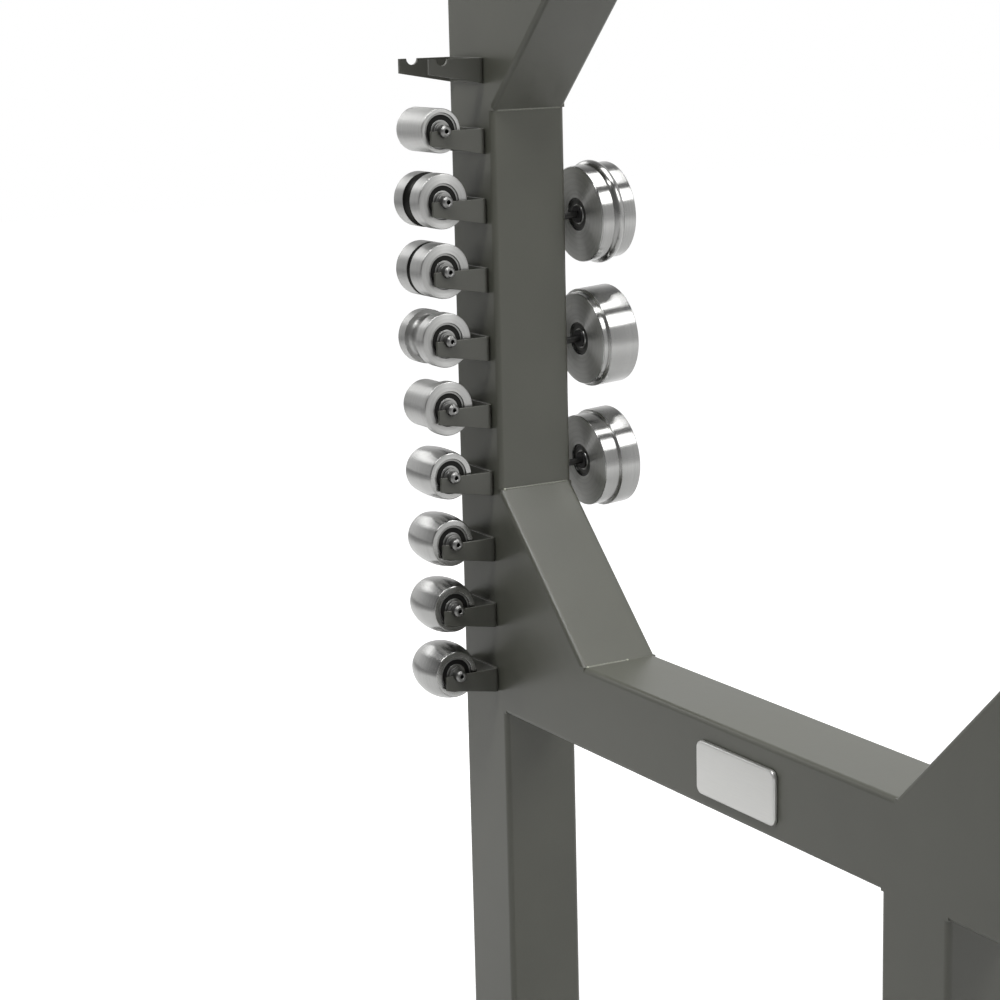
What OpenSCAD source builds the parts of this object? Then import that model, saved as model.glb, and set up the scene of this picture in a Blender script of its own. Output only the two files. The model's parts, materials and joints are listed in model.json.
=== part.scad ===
// English wheel: a C-shaped sheet metal machine with a fixed upper wheel, a screw-lifted lower anvil,
// a rack of spare anvils on one side of its column and three spare upper discs on the other.
// Millimetres, +Z up, +X from the column towards the wheels, origin on the floor under the middle.

/* [Frame] */
// Width of the square frame tube
tube = 100; // [90:1:115]
// Wall of the frame tube
tube_wall = 6; // [4:0.5:8]
// Outer corner radius of the frame tube
edge_r = 6; // [3:0.5:8]
// Height of the lower arm's top face above the floor
arm_top = 740; // [690:1:800]
// Leg of the two 45 degree gussets at the column
rear_gusset = 180; // [140:1:200]
// Straight height of the throat between those gussets
throat_rise = 450; // [430:1:520]
// Throat depth, from the column's front face to the wheel axis
throat_depth = 1016; // [980:1:1060]
// Leg of the 45 degree gusset between the lower arm and the ram post
front_gusset = 226; // [196:1:256]
// Rise of the ram post above the front gusset
post_lip = 24; // [15:1:40]
// Rise of the head gusset's tip above the head post's lower end
head_gusset_lip = 5; // [2:1:15]
// Thickness of the caps on open tube ends
cap_t = 4; // [3:0.5:6]

/* [Stand] */
// Width of the cross feet and of the base rail
foot_w = 80; // [70:1:88]
// Height of the cross feet and of the base rail
foot_h = 60; // [50:1:80]
// Length of each cross foot
foot_len = 600; // [520:1:700]
// Thickness of the foot plates
plate_t = 8; // [6:0.5:12]
// Width of a foot plate along the machine
plate_w = 120; // [110:1:130]
// Reach of a foot plate beyond the capped end of its cross foot
plate_reach = 50; // [40:1:60]
// Length of a foot plate that lies under its cross foot
plate_under = 60; // [40:1:90]
// Corner radius of a foot plate
plate_corner_r = 12; // [4:1:20]
// Anchor hole diameter in each foot plate
anchor_d = 14; // [10:0.5:16]
// Free space between the kick wheel's rim and the front leg
leg_gap = 56; // [40:1:70]

/* [Spare anvil rack] */
// Depth of the top bracket's axle seat below the top of the frame
rack_drop = 219; // [205:1:235]
// Free height between two beading rollers in neighbouring brackets
rack_gap = 16.7; // [14:0.1:19]
// Bracket strip thickness
strip_t = 4; // [3:0.5:5]
// Gap between a roller's end and the prong beside it
cradle_gap = 2.75; // [2:0.25:4]
// Stretch of the prongs beyond their axle seats
prong_lip = 9.5; // [7:0.5:14]
// Prong height where it leaves the column
prong_root_h = 30; // [26:1:34]
// Prong height at its tip
prong_tip_h = 17; // [15:1:20]
// Distance of the axle seat from the column face
seat_reach = 57; // [54:0.5:60]
// Outer bend radius of the bracket strip
bend_r = 8; // [6:0.5:10]

/* [Anvils] */
// Length of every anvil roller
roller_len = 62.5; // [58:0.5:64]
// Diameter of the plain flat roller
flat_d = 52; // [50:0.5:56]
// Diameter of the beading, spool and step rollers
bead_d = 65; // [62:0.5:67]
// Diameter of the crowned rollers at their ends
crown_end_d = 56; // [52:0.5:58]
// Crown height of the flattest crowned roller
crown_first = 2.3; // [1.5:0.1:3]
// Crown height gained by each further crowned roller
crown_step = 1.4; // [0.8:0.1:1.5]
// Width of the wide half-round bead groove
wide_groove_w = 18; // [14:0.5:20]
// Width of the narrow half-round bead groove
narrow_groove_w = 8; // [6:0.5:10]
// Flange width of the spool roller
spool_flange_w = 17; // [14:0.5:20]
// Groove depth of the spool roller
spool_depth = 8.5; // [6:0.5:9]
// Corner radius at the floor of the spool roller's groove
spool_corner_r = 4; // [2:0.5:5]
// Flange width of the step roller
step_flange_w = 12; // [8:0.5:16]
// Barrel diameter of the step roller
step_barrel_d = 57; // [54:0.5:60]
// Chamfer on the roller rims
rim_chamfer = 1.2; // [0.5:0.1:2]
// Axle diameter where it rests in a seat
axle_end_d = 14; // [12:0.5:15]
// Play of the axle in its round seat, across the seat
seat_play = 1; // [0.8:0.1:1.5]
// Stretch of the axle beyond each prong
axle_over = 7; // [5:0.5:10]
// Centre hole diameter in the axle ends
centre_hole_d = 5; // [3:0.5:6]
// Depth of those centre holes
centre_hole_depth = 6; // [4:0.5:10]

/* [Bearings and fits] */
// Bore of the anvil and upper wheel bearings
bearing_bore = 20; // [18:0.5:22]
// Outer diameter of the anvil bearings
bearing_d = 42; // [40:0.5:43]
// Width of the anvil bearings
bearing_w = 12; // [10:0.5:14]
// Bore of the disc bearings
disc_bearing_bore = 17; // [16:0.5:18]
// Outer diameter of the disc bearings
disc_bearing_d = 40; // [38:0.5:42]
// Width of the disc bearings
disc_bearing_w = 12; // [10:0.5:14]
// Outer diameter of the upper wheel bearings
wheel_bearing_d = 47; // [44:0.5:50]
// Width of the upper wheel bearings
wheel_bearing_w = 14; // [12:0.5:16]
// Depth of a bearing below the face of its wheel
bearing_recess = 1.5; // [1:0.1:2]
// Radial clearance of a turning fit
run_fit = 0.05; // [0.02:0.01:0.1]
// Radial gap between pieces pressed together
press_gap = 0.02; // [0.01:0.01:0.04]
// Gap on each side of a sliding square fit
slide_fit = 0.3; // [0.2:0.05:0.5]
// Axial gap between faces that turn on each other
face_gap = 0.2; // [0.1:0.05:0.4]
// Gap between a resting axle and the floor of its seat
seat_gap = 0.3; // [0.2:0.05:0.4]

/* [Spare discs] */
// Overall diameter of the spare discs
disc_d = 120; // [116:1:126]
// Width of the spare discs
disc_w = 48; // [44:0.5:52]
// Distance of the disc axes behind the column's front face
disc_x = 12; // [11:0.5:30]
// Height of the top disc's axis where its peg leaves the column
disc_top = 1239.5; // [1232:0.5:1246]
// Spacing of the discs down the column
disc_pitch = 150.4; // [146:0.2:154]
// Gap between the column and the discs
disc_gap = 22; // [16:1:26]
// Upward tilt of the pegs
peg_tilt = 4; // [2:0.5:6]
// Diameter of a peg's neck
peg_neck_d = 8; // [7:0.5:9]
// Collar diameter on the peg sleeves
sleeve_collar_d = 21; // [20:0.5:22]
// Collar thickness on the peg sleeves
sleeve_collar_t = 2; // [1.5:0.5:3]
// Height of the raised bead on the first disc
bead_h = 4.5; // [3:0.5:5]
// Width of the raised bead on the first disc
bead_w = 14; // [12:0.5:16]
// Depth of the step on the second and third discs
disc_step = 4; // [3:0.5:5]
// Width of the small rim on the second disc
disc_rim_w = 8; // [6:0.5:12]
// Width of the small band on the third disc
disc_band_w = 21; // [18:0.5:24]

/* [Upper wheel] */
// Diameter of the upper wheel
wheel_d = 200; // [190:1:206]
// Width of the upper wheel
wheel_w = 50; // [46:0.5:54]
// Rim thickness of the upper wheel
wheel_rim_t = 18; // [14:0.5:22]
// Web thickness of the upper wheel
wheel_web_t = 20; // [16:0.5:26]
// Fillet between the web and the rim or hub of the upper wheel
wheel_fillet = 9; // [4:0.5:10]
// Hub diameter of the upper wheel
wheel_hub_d = 66; // [62:1:72]
// Side gap between the wheel and its yoke
wheel_side_gap = 3; // [2:0.5:5]
// Gap between the wheel's top and its yoke
wheel_top_gap = 15; // [13:0.5:20]
// Outer diameter of the spacer rings beside the wheel's bearings
spacer_d = 26; // [24:0.5:27]
// Thickness of the upper yoke's cheeks
cheek_t = 14; // [12:0.5:16]
// Thickness of the upper yoke's top block
yoke_block_t = 20; // [16:0.5:26]
// Radius of the cheek's round end about the axle
cheek_eye_r = 30; // [26:0.5:34]
// Inset of the cheek's straight flanks from its round end at the axle's height
flank_inset = 1; // [0.5:0.1:3]
// Thread diameter of the yoke bolts
yoke_bolt_d = 12; // [10:0.5:14]
// Spacing of the yoke bolts along the machine
yoke_bolt_pitch = 64; // [60:1:68]

/* [Ram and screw] */
// Gap between the upper wheel and the lower anvil as drawn
sheet_gap = 20; // [18:0.5:25]
// Downward travel of the ram from that place
ram_down = 60; // [50:1:70]
// Width of the square ram
ram_w = 60; // [54:1:64]
// Corner radius of the ram
ram_edge_r = 3; // [1:0.5:6]
// Solid top of the ram above the screw's bore
ram_top_wall = 25; // [15:1:35]
// Length of the ram
ram_len = 295; // [285:1:310]
// Height of each ram guide
guide_h = 40; // [30:1:50]
// Gap left between the lower yoke and the post at the lowest setting
yoke_rest_gap = 5; // [3:0.5:10]
// Thickness of the lower yoke's base
lower_base_t = 25; // [20:0.5:30]
// Thickness of the lower yoke's cheeks
lower_cheek_t = 10; // [8:0.5:14]
// Corner radius at the top of the lower yoke's cheeks
lower_cheek_r = 12; // [6:0.5:16]
// Length of the lower yoke along the machine
lower_yoke_w = 56; // [50:1:62]
// Gap between the lower anvil and the yoke's base
anvil_floor_gap = 5; // [4:0.5:8]
// Outer diameter of the lifting screw's thread
screw_d = 24; // [22:0.5:26]
// Diameter of the screw's journal and lower shaft
shaft_d = 20; // [18:0.5:22]
// Wall of the lift nut around the thread
nut_wall = 10; // [6:0.5:12]
// Clearance around the thread inside the ram
thread_clear = 2; // [1:0.5:3]
// Height of the lift nut
nut_h = 30; // [25:1:36]
// Length of the screw's thread above its shoulder
thread_len = 295; // [280:1:310]
// Diameter of the screw's thrust shoulder
shoulder_d = 33; // [29:0.5:36]
// Height of the screw's thrust shoulder
shoulder_h = 12; // [8:0.5:16]
// Thickness of the plate under the ram post
post_plate_t = 12; // [10:0.5:16]
// Outer diameter of the thrust bearing
thrust_d = 35; // [32:0.5:38]
// Width of the groove round the thrust bearing
thrust_groove = 3; // [2:0.5:4]
// Height of the thrust bearing
thrust_h = 10; // [8:0.5:12]
// Diameter of the collar under the post plate
collar_d = 36; // [32:1:40]
// Height of the collar under the post plate
collar_h = 15; // [12:0.5:20]
// Overall diameter of the kick wheel
kick_d = 280; // [260:1:290]
// Bar diameter of the kick wheel's rim
kick_bar_d = 24; // [20:0.5:28]
// Number of kick wheel spokes
kick_spokes = 4; // [3:1:6]
// Spoke diameter of the kick wheel
kick_spoke_d = 16; // [12:0.5:18]
// Hub diameter of the kick wheel
kick_hub_d = 50; // [44:1:56]
// Hub height of the kick wheel
kick_hub_h = 44; // [36:1:50]
// Height of the kick wheel's middle above the floor
kick_z = 300; // [260:1:340]

/* [Hidden] */
$fn = 96;
// Overlap of a cutting tool past the face that it cuts
cut = 1;
// Share of a bearing's section that each of its two rings takes, and the depth of the seal between them
ring_share = 0.27;
seal_dip = 0.6;
// Room between a shaft and the wheel's bore between its two bearings
shaft_room = 3;
rack_profiles = 9;
// One bracket more than there are stored anvils: the top one stays empty
rack_count = rack_profiles + 1;
paint = [0.34, 0.34, 0.32];
bright_steel = [0.74, 0.74, 0.73];
dark_steel = [0.16, 0.16, 0.16];
bronze = [0.62, 0.45, 0.22];
black_finish = [0.06, 0.06, 0.06];

// Places along the machine
column_back = -(tube + throat_depth + kick_d / 2 - (plate_w - tube) / 2) / 2;
column_mid = column_back + tube / 2;
column_front = column_back + tube;
wheel_x = column_front + throat_depth;
post_back = wheel_x - tube / 2;
post_front = wheel_x + tube / 2;
leg_front = wheel_x - kick_d / 2 - leg_gap;
leg_back = leg_front - tube;
leg_mid = leg_front - tube / 2;

// Heights
foot_top = plate_t + foot_h;
arm_bottom = arm_top - tube;
throat_low = arm_top + rear_gusset;
throat_high = throat_low + throat_rise;
upper_bottom = throat_high + rear_gusset;
frame_top = upper_bottom + tube;
post_top = arm_top + front_gusset + post_lip;
work_r = bead_d / 2;
lower_base_z = post_top + ram_down + yoke_rest_gap;
work_z = lower_base_z + lower_base_t + anvil_floor_gap + work_r;
contact_z = work_z + work_r;
wheel_z = contact_z + sheet_gap + wheel_d / 2;
yoke_under = wheel_z + wheel_d / 2 + wheel_top_gap;
head_bottom = yoke_under + yoke_block_t;
head_plate_t = 2 * tube_wall;
head_gusset = upper_bottom - head_bottom - head_gusset_lip;

// Anvil rack
cradle_w = roller_len + 2 * cradle_gap;
bracket_w = cradle_w + 2 * strip_t;
seat_r = (axle_end_d + seat_play) / 2;
prong_len = seat_reach + seat_r + prong_lip;
rack_pitch = bead_d + rack_gap;
rack_top = frame_top - rack_drop;
axle_len = bracket_w + 2 * axle_over;
rack_y = -(tube / 2 + seat_reach);
seat_drop = seat_r - axle_end_d / 2 - seat_gap;

// Ram, screw and yokes
ram_bottom = lower_base_z - ram_len;
guide_low = ram_bottom + sheet_gap + yoke_rest_gap;
screw_foot = arm_bottom + thrust_h + face_gap;
ram_bore_d = screw_d + 2 * thread_clear;
nut_d = screw_d + 2 * nut_wall;
lower_gap = cradle_w;
lower_yoke_y = lower_gap + 2 * lower_cheek_t;
work_seat_z = work_z + seat_drop;
cheek_top_z = work_seat_z + seat_r;
upper_gap = wheel_w + 2 * wheel_side_gap;
upper_yoke_y = upper_gap + 2 * cheek_t;
axle_nut_h = 16;
axle_nut_d = 34;
axle_span = upper_yoke_y + 2 * axle_nut_h;
kick_nut_h = 13;
kick_nut_d = 27;
kick_hub_low = kick_z - kick_hub_h / 2;
bolt_head_h = 8;
bolt_head_d = 20;

// Height of the axle in bracket k, where bracket 0 is the empty one at the top
function rack_z(k) = rack_top - k * rack_pitch;

// Height of the peg of disc k at the column's face
function peg_z(k) = disc_top - (k - 1) * disc_pitch;

// Crown height of crowned roller k of the rack
function crown_h(k) = crown_first + crown_step * (k - 6);

// A rectangle of the frame's side view
function rect_xz(x0, x1, z0, z1) = [[x0, z0], [x1, z0], [x1, z1], [x0, z1]];

// A side view outline, given breadth across the machine
module across(points, breadth) {
    rotate([90, 0, 0])
        linear_extrude(breadth, center = true)
            polygon(points);
}

// The waste outside a rounded corner, in the quarter right of and below the corner's centre
module corner_waste(r) {
    difference() {
        translate([0, -r - cut])
            square([r + cut, r + cut]);
        circle(r);
    }
}

// Cuts that round both long edges of a face that runs from p to q in the side view, metal on its left
module round_edges(p, q) {
    run = norm(q - p);
    turn = atan2(q[1] - p[1], q[0] - p[0]);
    translate([p[0], 0, p[1]])
        rotate([0, -turn, 0])
            for (side = [0, 1])
                mirror([0, side, 0])
                    translate([0, tube / 2 - edge_r, edge_r])
                        rotate([90, 0, 90])
                            linear_extrude(run)
                                corner_waste(edge_r);
}

// A hollow frame member; edges lists the faces whose long edges are rounded
module member(outer, cavity, edges) {
    difference() {
        across(outer, tube);
        across(cavity, tube - 2 * tube_wall);
        for (e = edges)
            round_edges(e[0], e[1]);
    }
}

// A hollow 45 degree gusset with its square corner at c, reaching by leg towards sx and sz
module gusset(c, leg, sx, sz) {
    inner = leg - tube_wall * (2 + sqrt(2));
    a = [c[0] + sx * leg, c[1]];
    b = [c[0], c[1] + sz * leg];
    i = [c[0] + sx * tube_wall, c[1] + sz * tube_wall];
    member(
        [c, a, b],
        [i, [i[0] + sx * inner, i[1]], [i[0], i[1] + sz * inner]],
        [sx * sz > 0 ? [a, b] : [b, a]]
    );
}

// A solid rectangle with rounded corners, centred
module rounded_square(size, r) {
    square([size[0] - 2 * r, size[1]], center = true);
    square([size[0], size[1] - 2 * r], center = true);
    for (sx = [-1, 1], sy = [-1, 1])
        translate([sx * (size[0] / 2 - r), sy * (size[1] / 2 - r)])
            circle(r);
}

// A rounded rectangular tube along +Z
module rect_tube(size, length) {
    linear_extrude(length)
        difference() {
            rounded_square(size, edge_r);
            square([size[0] - 2 * tube_wall, size[1] - 2 * tube_wall], center = true);
        }
}

// A sealed ball bearing on the Z axis, centred, with shallow seals between its two rings
module bearing(bore, outer, width) {
    ring = (outer - bore) / 2 * ring_share;
    rotate_extrude()
        difference() {
            translate([bore / 2, -width / 2])
                square([(outer - bore) / 2, width]);
            for (side = [0, 1])
                mirror([0, side])
                    translate([bore / 2 + ring, width / 2 - seal_dip])
                        square([(outer - bore) / 2 - 2 * ring, seal_dip + cut]);
        }
}

// Two bearings on the Z axis, each set in from the face of a wheel of the given width
module bearing_pair(bore, outer, width, wheel_width) {
    offset_z = wheel_width / 2 - bearing_recess - width / 2;
    for (side = [-1, 1])
        translate([0, 0, side * offset_z])
            bearing(bore, outer, width);
}

// The bore and the two bearing pockets of a wheel, in half section
module pockets(bore, outer_r, width, wheel_width) {
    depth = bearing_recess + width + face_gap;
    translate([-cut, -wheel_width / 2 - cut])
        square([bore / 2 + shaft_room + cut, wheel_width + 2 * cut]);
    for (side = [0, 1])
        mirror([0, side])
            translate([-cut, wheel_width / 2 - depth])
                square([outer_r + cut, depth + cut]);
}

// The chamfers on both rims of a wheel, in half section
module rim_cuts(r, width) {
    for (side = [0, 1])
        mirror([0, side])
            translate([r, width / 2])
                rotate(45)
                    square(sqrt(2) * rim_chamfer, center = true);
}

// A plain roller in half section, right of the Z axis
module plain_half(r) {
    difference() {
        translate([0, -roller_len / 2])
            square([r, roller_len]);
        rim_cuts(r, roller_len);
    }
}

// A crowned roller in half section: one arc from end to end
module crowned_half(end_r, crown) {
    arc_r = (pow(roller_len / 2, 2) + pow(crown, 2)) / (2 * crown);
    intersection() {
        translate([0, -roller_len / 2])
            square([end_r + crown, roller_len]);
        translate([end_r + crown - arc_r, 0])
            circle(arc_r, $fn = 720);
    }
}

// A half-round groove in the middle of a roller, in half section
module groove_half(r, width) {
    translate([r, 0])
        circle(width / 2);
}

// The waisted middle of the spool roller, in half section, with round corners at its floor
module spool_cut(r) {
    length = roller_len - 2 * spool_flange_w;
    translate([r, 0])
        rounded_square([2 * spool_depth, length], spool_corner_r);
}

// The step roller in half section: a barrel with one flange on its front end
module step_half(flange_r, barrel_r) {
    difference() {
        plain_half(flange_r);
        translate([barrel_r, -roller_len / 2 - cut])
            square([flange_r, roller_len - step_flange_w + cut]);
    }
}

// The outline of rack roller k in half section
module roller_half(k) {
    bead_r = bead_d / 2;
    if (k == 1)
        plain_half(flat_d / 2);
    else if (k == 2 || k == 3)
        difference() {
            plain_half(bead_r);
            groove_half(bead_r, k == 2 ? wide_groove_w : narrow_groove_w);
        }
    else if (k == 4)
        difference() {
            plain_half(bead_r);
            spool_cut(bead_r);
        }
    else if (k == 5)
        step_half(bead_r, step_barrel_d / 2);
    else
        crowned_half(crown_end_d / 2, crown_h(k));
}

// Turns a half section about the Z axis and bores it for its bearings
module bored_roller() {
    rotate_extrude()
        difference() {
            children();
            pockets(bearing_bore, bearing_d / 2 + run_fit, bearing_w, roller_len);
        }
}

// An anvil axle on the Z axis: a thick middle for the bearings and two thinner ends with centre holes
module anvil_axle() {
    middle = roller_len + 2 * bearing_recess;
    difference() {
        union() {
            cylinder(h = middle, d = bearing_bore - 2 * press_gap, center = true);
            cylinder(h = axle_len, d = axle_end_d, center = true);
        }
        for (side = [0, 1])
            mirror([0, 0, side])
                translate([0, 0, axle_len / 2 - centre_hole_depth])
                    cylinder(h = centre_hole_depth + cut, d = centre_hole_d);
    }
}

// Puts a piece made on the Z axis into rack bracket k, its +Z end towards +X
module in_rack(k) {
    translate([column_mid, rack_y, rack_z(k) - seat_drop])
        rotate([0, 90, 0])
            children();
}

// Puts a piece made on the Z axis on the axis of the lower anvil, along Y
module at_work() {
    translate([wheel_x, 0, work_z])
        rotate([-90, 0, 0])
            children();
}

// Puts a piece made on the Z axis on the axis of the upper wheel, along Y
module at_wheel() {
    translate([wheel_x, 0, wheel_z])
        rotate([-90, 0, 0])
            children();
}

// Puts a piece made on the Z axis on peg k, with Z = 0 at the column's face
module on_peg(k) {
    translate([column_front - disc_x, tube / 2, peg_z(k)])
        rotate([-90 + peg_tilt, 0, 0])
            children();
}

// A hexagonal nut along +Z with a plain bore
module hex_nut(across_corners, height, bore) {
    difference() {
        cylinder(h = height, d = across_corners, $fn = 6);
        translate([0, 0, -cut])
            cylinder(h = height + 2 * cut, d = bore);
    }
}

// Rear column, which is also the rear leg
module rear_column() {
    top = frame_top - cap_t;
    color(paint)
        member(
            rect_xz(column_back, column_front, foot_top, top),
            rect_xz(column_back + tube_wall, column_front - tube_wall, foot_top - cut, top + cut),
            [
                [[column_back, top], [column_back, foot_top]],
                [[column_front, foot_top], [column_front, arm_bottom]],
                [[column_front, throat_low], [column_front, throat_high]]
            ]
        );
}

// Lower arm of the C
module lower_arm() {
    color(paint)
        member(
            rect_xz(column_front, post_back, arm_bottom, arm_top),
            rect_xz(column_front - cut, post_back + cut, arm_bottom + tube_wall, arm_top - tube_wall),
            [
                [[post_back - front_gusset, arm_top], [column_front + rear_gusset, arm_top]],
                [[column_front, arm_bottom], [leg_back, arm_bottom]],
                [[leg_front, arm_bottom], [post_back, arm_bottom]]
            ]
        );
}

// Upper arm of the C
module upper_arm() {
    color(paint)
        member(
            rect_xz(column_front, post_back, upper_bottom, frame_top),
            rect_xz(column_front - cut, post_back + cut, upper_bottom + tube_wall, frame_top - tube_wall),
            [
                [[post_back, frame_top], [column_front, frame_top]],
                [[column_front + rear_gusset, upper_bottom], [post_back - head_gusset, upper_bottom]]
            ]
        );
}

module lower_rear_gusset() {
    color(paint) gusset([column_front, arm_top], rear_gusset, 1, 1);
}

module upper_rear_gusset() {
    color(paint) gusset([column_front, upper_bottom], rear_gusset, 1, -1);
}

module lower_front_gusset() {
    color(paint) gusset([post_back, arm_top], front_gusset, -1, 1);
}

module upper_front_gusset() {
    color(paint) gusset([post_back, upper_bottom], head_gusset, -1, -1);
}

// Upright tube at the front of the lower arm, which guides the ram
module ram_post() {
    color(paint)
        member(
            rect_xz(post_back, post_front, arm_bottom, post_top),
            rect_xz(post_back + tube_wall, post_front - tube_wall, arm_bottom - cut, post_top + cut),
            [
                [[post_back, post_top], [post_back, arm_top + front_gusset]],
                [[post_front, arm_bottom], [post_front, post_top]]
            ]
        );
}

// Short tube under the front of the upper arm, closed below by a thick plate for the yoke
module head_post() {
    top = frame_top - cap_t;
    bolt_reach = head_plate_t;
    color(paint)
        difference() {
            member(
                rect_xz(post_back, post_front, head_bottom, top),
                rect_xz(post_back + tube_wall, post_front - tube_wall, head_bottom + head_plate_t, top + cut),
                [
                    [[post_front, head_bottom], [post_front, top]],
                    [[post_back, upper_bottom - head_gusset], [post_back, head_bottom]]
                ]
            );
            for (side = [-1, 1])
                translate([wheel_x + side * yoke_bolt_pitch / 2, 0, head_bottom - cut])
                    cylinder(h = bolt_reach + 2 * cut, d = yoke_bolt_d + 2 * run_fit);
        }
}

// Leg under the front of the lower arm, set back from the kick wheel
module front_leg() {
    color(paint)
        member(
            rect_xz(leg_back, leg_front, foot_top, arm_bottom),
            rect_xz(leg_back + tube_wall, leg_front - tube_wall, foot_top - cut, arm_bottom + cut),
            [
                [[leg_back, arm_bottom], [leg_back, foot_top]],
                [[leg_front, foot_top], [leg_front, arm_bottom]]
            ]
        );
}

// Floor tube that ties the two cross feet together
module base_rail() {
    start = column_mid + foot_w / 2;
    end = leg_mid - foot_w / 2;
    color(paint)
        translate([start, 0, plate_t + foot_h / 2])
            rotate([90, 0, 90])
                rect_tube([foot_w, foot_h], end - start);
}

// The two cross feet
module cross_feet() {
    color(paint)
        for (x = [column_mid, leg_mid])
            translate([x, foot_len / 2, plate_t + foot_h / 2])
                rotate([90, 0, 0])
                    rect_tube([foot_w, foot_h], foot_len);
}

// Four foot plates, each with one anchor hole outside its cross foot
module foot_plates() {
    length = plate_under + cap_t + plate_reach;
    hole_y = foot_len / 2 + cap_t + plate_reach / 2;
    color(paint)
        for (x = [column_mid, leg_mid], side = [-1, 1])
            difference() {
                translate([x, side * (foot_len / 2 - plate_under + length / 2), 0])
                    linear_extrude(plate_t)
                        rounded_square([plate_w, length], plate_corner_r);
                translate([x, side * hole_y, -cut])
                    cylinder(h = plate_t + 2 * cut, d = anchor_d);
            }
}

// Caps on the open tube ends: column, head post and both ends of each cross foot
module end_caps() {
    color(paint) {
        for (x = [column_mid, wheel_x])
            translate([x, 0, frame_top - cap_t])
                linear_extrude(cap_t)
                    rounded_square([tube, tube], edge_r);
        for (x = [column_mid, leg_mid], side = [0, 1])
            mirror([0, side, 0])
                translate([x, foot_len / 2 + cap_t, plate_t + foot_h / 2])
                    rotate([90, 0, 0])
                        linear_extrude(cap_t)
                            rounded_square([foot_w, foot_h], edge_r);
    }
}

// The bracket's bent strip seen from above, with its web on the line Y = 0
module strip_plan() {
    inner_r = bend_r - strip_t;
    difference() {
        translate([0, -prong_len])
            rounded_square([bracket_w, 2 * prong_len], bend_r);
        translate([0, -prong_len - strip_t])
            rounded_square([cradle_w, 2 * prong_len], inner_r);
        translate([-bracket_w / 2 - cut, -2 * prong_len - cut])
            square([bracket_w + 2 * cut, prong_len + cut]);
    }
}

// A prong seen from the side: a level top with a round seat and a sloping lower edge
module prong_side() {
    difference() {
        polygon([
            [cut, 0], [-prong_len, 0], [-prong_len, -prong_tip_h], [0, -prong_root_h], [cut, -prong_root_h]
        ]);
        translate([-seat_reach, 0])
            circle(seat_r);
    }
}

// The U-shaped rack brackets on the near side of the column
module rack_brackets() {
    color(paint)
        for (k = [0 : rack_count - 1])
            translate([column_mid, -tube / 2, rack_z(k)])
                intersection() {
                    translate([0, 0, -prong_root_h])
                        linear_extrude(prong_root_h)
                            strip_plan();
                    rotate([90, 0, 90])
                        linear_extrude(bracket_w + 2 * cut, center = true)
                            prong_side();
                }
}

// Pegs for the spare discs: a thin neck welded to the column, and a core inside the sleeve
module disc_pegs() {
    sink = peg_neck_d / 2 * tan(peg_tilt);
    color(dark_steel)
        intersection() {
            union()
                for (k = [1 : 3])
                    on_peg(k)
                        translate([0, 0, -sink])
                            cylinder(h = sink + disc_gap + disc_w, d = peg_neck_d);
            translate([column_back, tube / 2, 0])
                cube([tube + disc_d, 2 * (disc_gap + disc_w), frame_top]);
        }
}

// Black sleeves that fill the disc bearings, each with a collar on the column side
module peg_sleeves() {
    color(black_finish)
        for (k = [1 : 3])
            on_peg(k)
                difference() {
                    union() {
                        translate([0, 0, disc_gap + bearing_recess - sleeve_collar_t])
                            cylinder(h = sleeve_collar_t - face_gap, d = sleeve_collar_d);
                        translate([0, 0, disc_gap + bearing_recess - sleeve_collar_t])
                            cylinder(
                                h = disc_w - bearing_recess + sleeve_collar_t,
                                d = disc_bearing_bore - 2 * run_fit
                            );
                    }
                    cylinder(h = 2 * (disc_gap + disc_w), d = peg_neck_d + 2 * press_gap);
                }
}

// Spare disc k in half section; -Z is the face towards the column
module disc_half(k) {
    r = disc_d / 2;
    if (k == 1) {
        base_r = r - bead_h / 2;
        arc_r = (pow(bead_w / 2, 2) + pow(bead_h, 2)) / (2 * bead_h);
        difference() {
            translate([0, -disc_w / 2])
                square([base_r, disc_w]);
            rim_cuts(base_r, disc_w);
        }
        intersection() {
            translate([0, -bead_w / 2])
                square([base_r + bead_h, bead_w]);
            translate([base_r + bead_h - arc_r, 0])
                circle(arc_r);
        }
    } else {
        low_w = k == 2 ? disc_rim_w : disc_band_w;
        difference() {
            translate([0, -disc_w / 2])
                square([r, disc_w]);
            rim_cuts(r, disc_w);
            translate([r - disc_step, -disc_w / 2 - cut])
                square([disc_step + cut, low_w + cut]);
            translate([r - disc_step - rim_chamfer, -disc_w / 2])
                polygon([[0, 0], [rim_chamfer, rim_chamfer], [rim_chamfer, -cut], [0, -cut]]);
        }
    }
}

// Spare upper disc k on its peg
module spare_disc(k) {
    color(bright_steel)
        on_peg(k)
            translate([0, 0, disc_gap + disc_w / 2])
                rotate_extrude()
                    difference() {
                        disc_half(k);
                        pockets(disc_bearing_bore, disc_bearing_d / 2 + run_fit, disc_bearing_w, disc_w);
                    }
}

// The two bearings of spare disc k
module disc_bearings(k) {
    color(dark_steel)
        on_peg(k)
            translate([0, 0, disc_gap + disc_w / 2])
                bearing_pair(disc_bearing_bore, disc_bearing_d, disc_bearing_w, disc_w);
}

// Outline of an upper yoke cheek: full width at the top, drawn in to a round eye at the axle
module cheek_outline() {
    drop = head_bottom - wheel_z;
    half = tube / 2;
    shoulder = drop - yoke_block_t - wheel_top_gap;
    foot = cheek_eye_r - flank_inset;
    circle(cheek_eye_r);
    polygon([[half, drop], [half, shoulder], [foot, 0], [-foot, 0], [-half, shoulder], [-half, drop]]);
}

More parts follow.
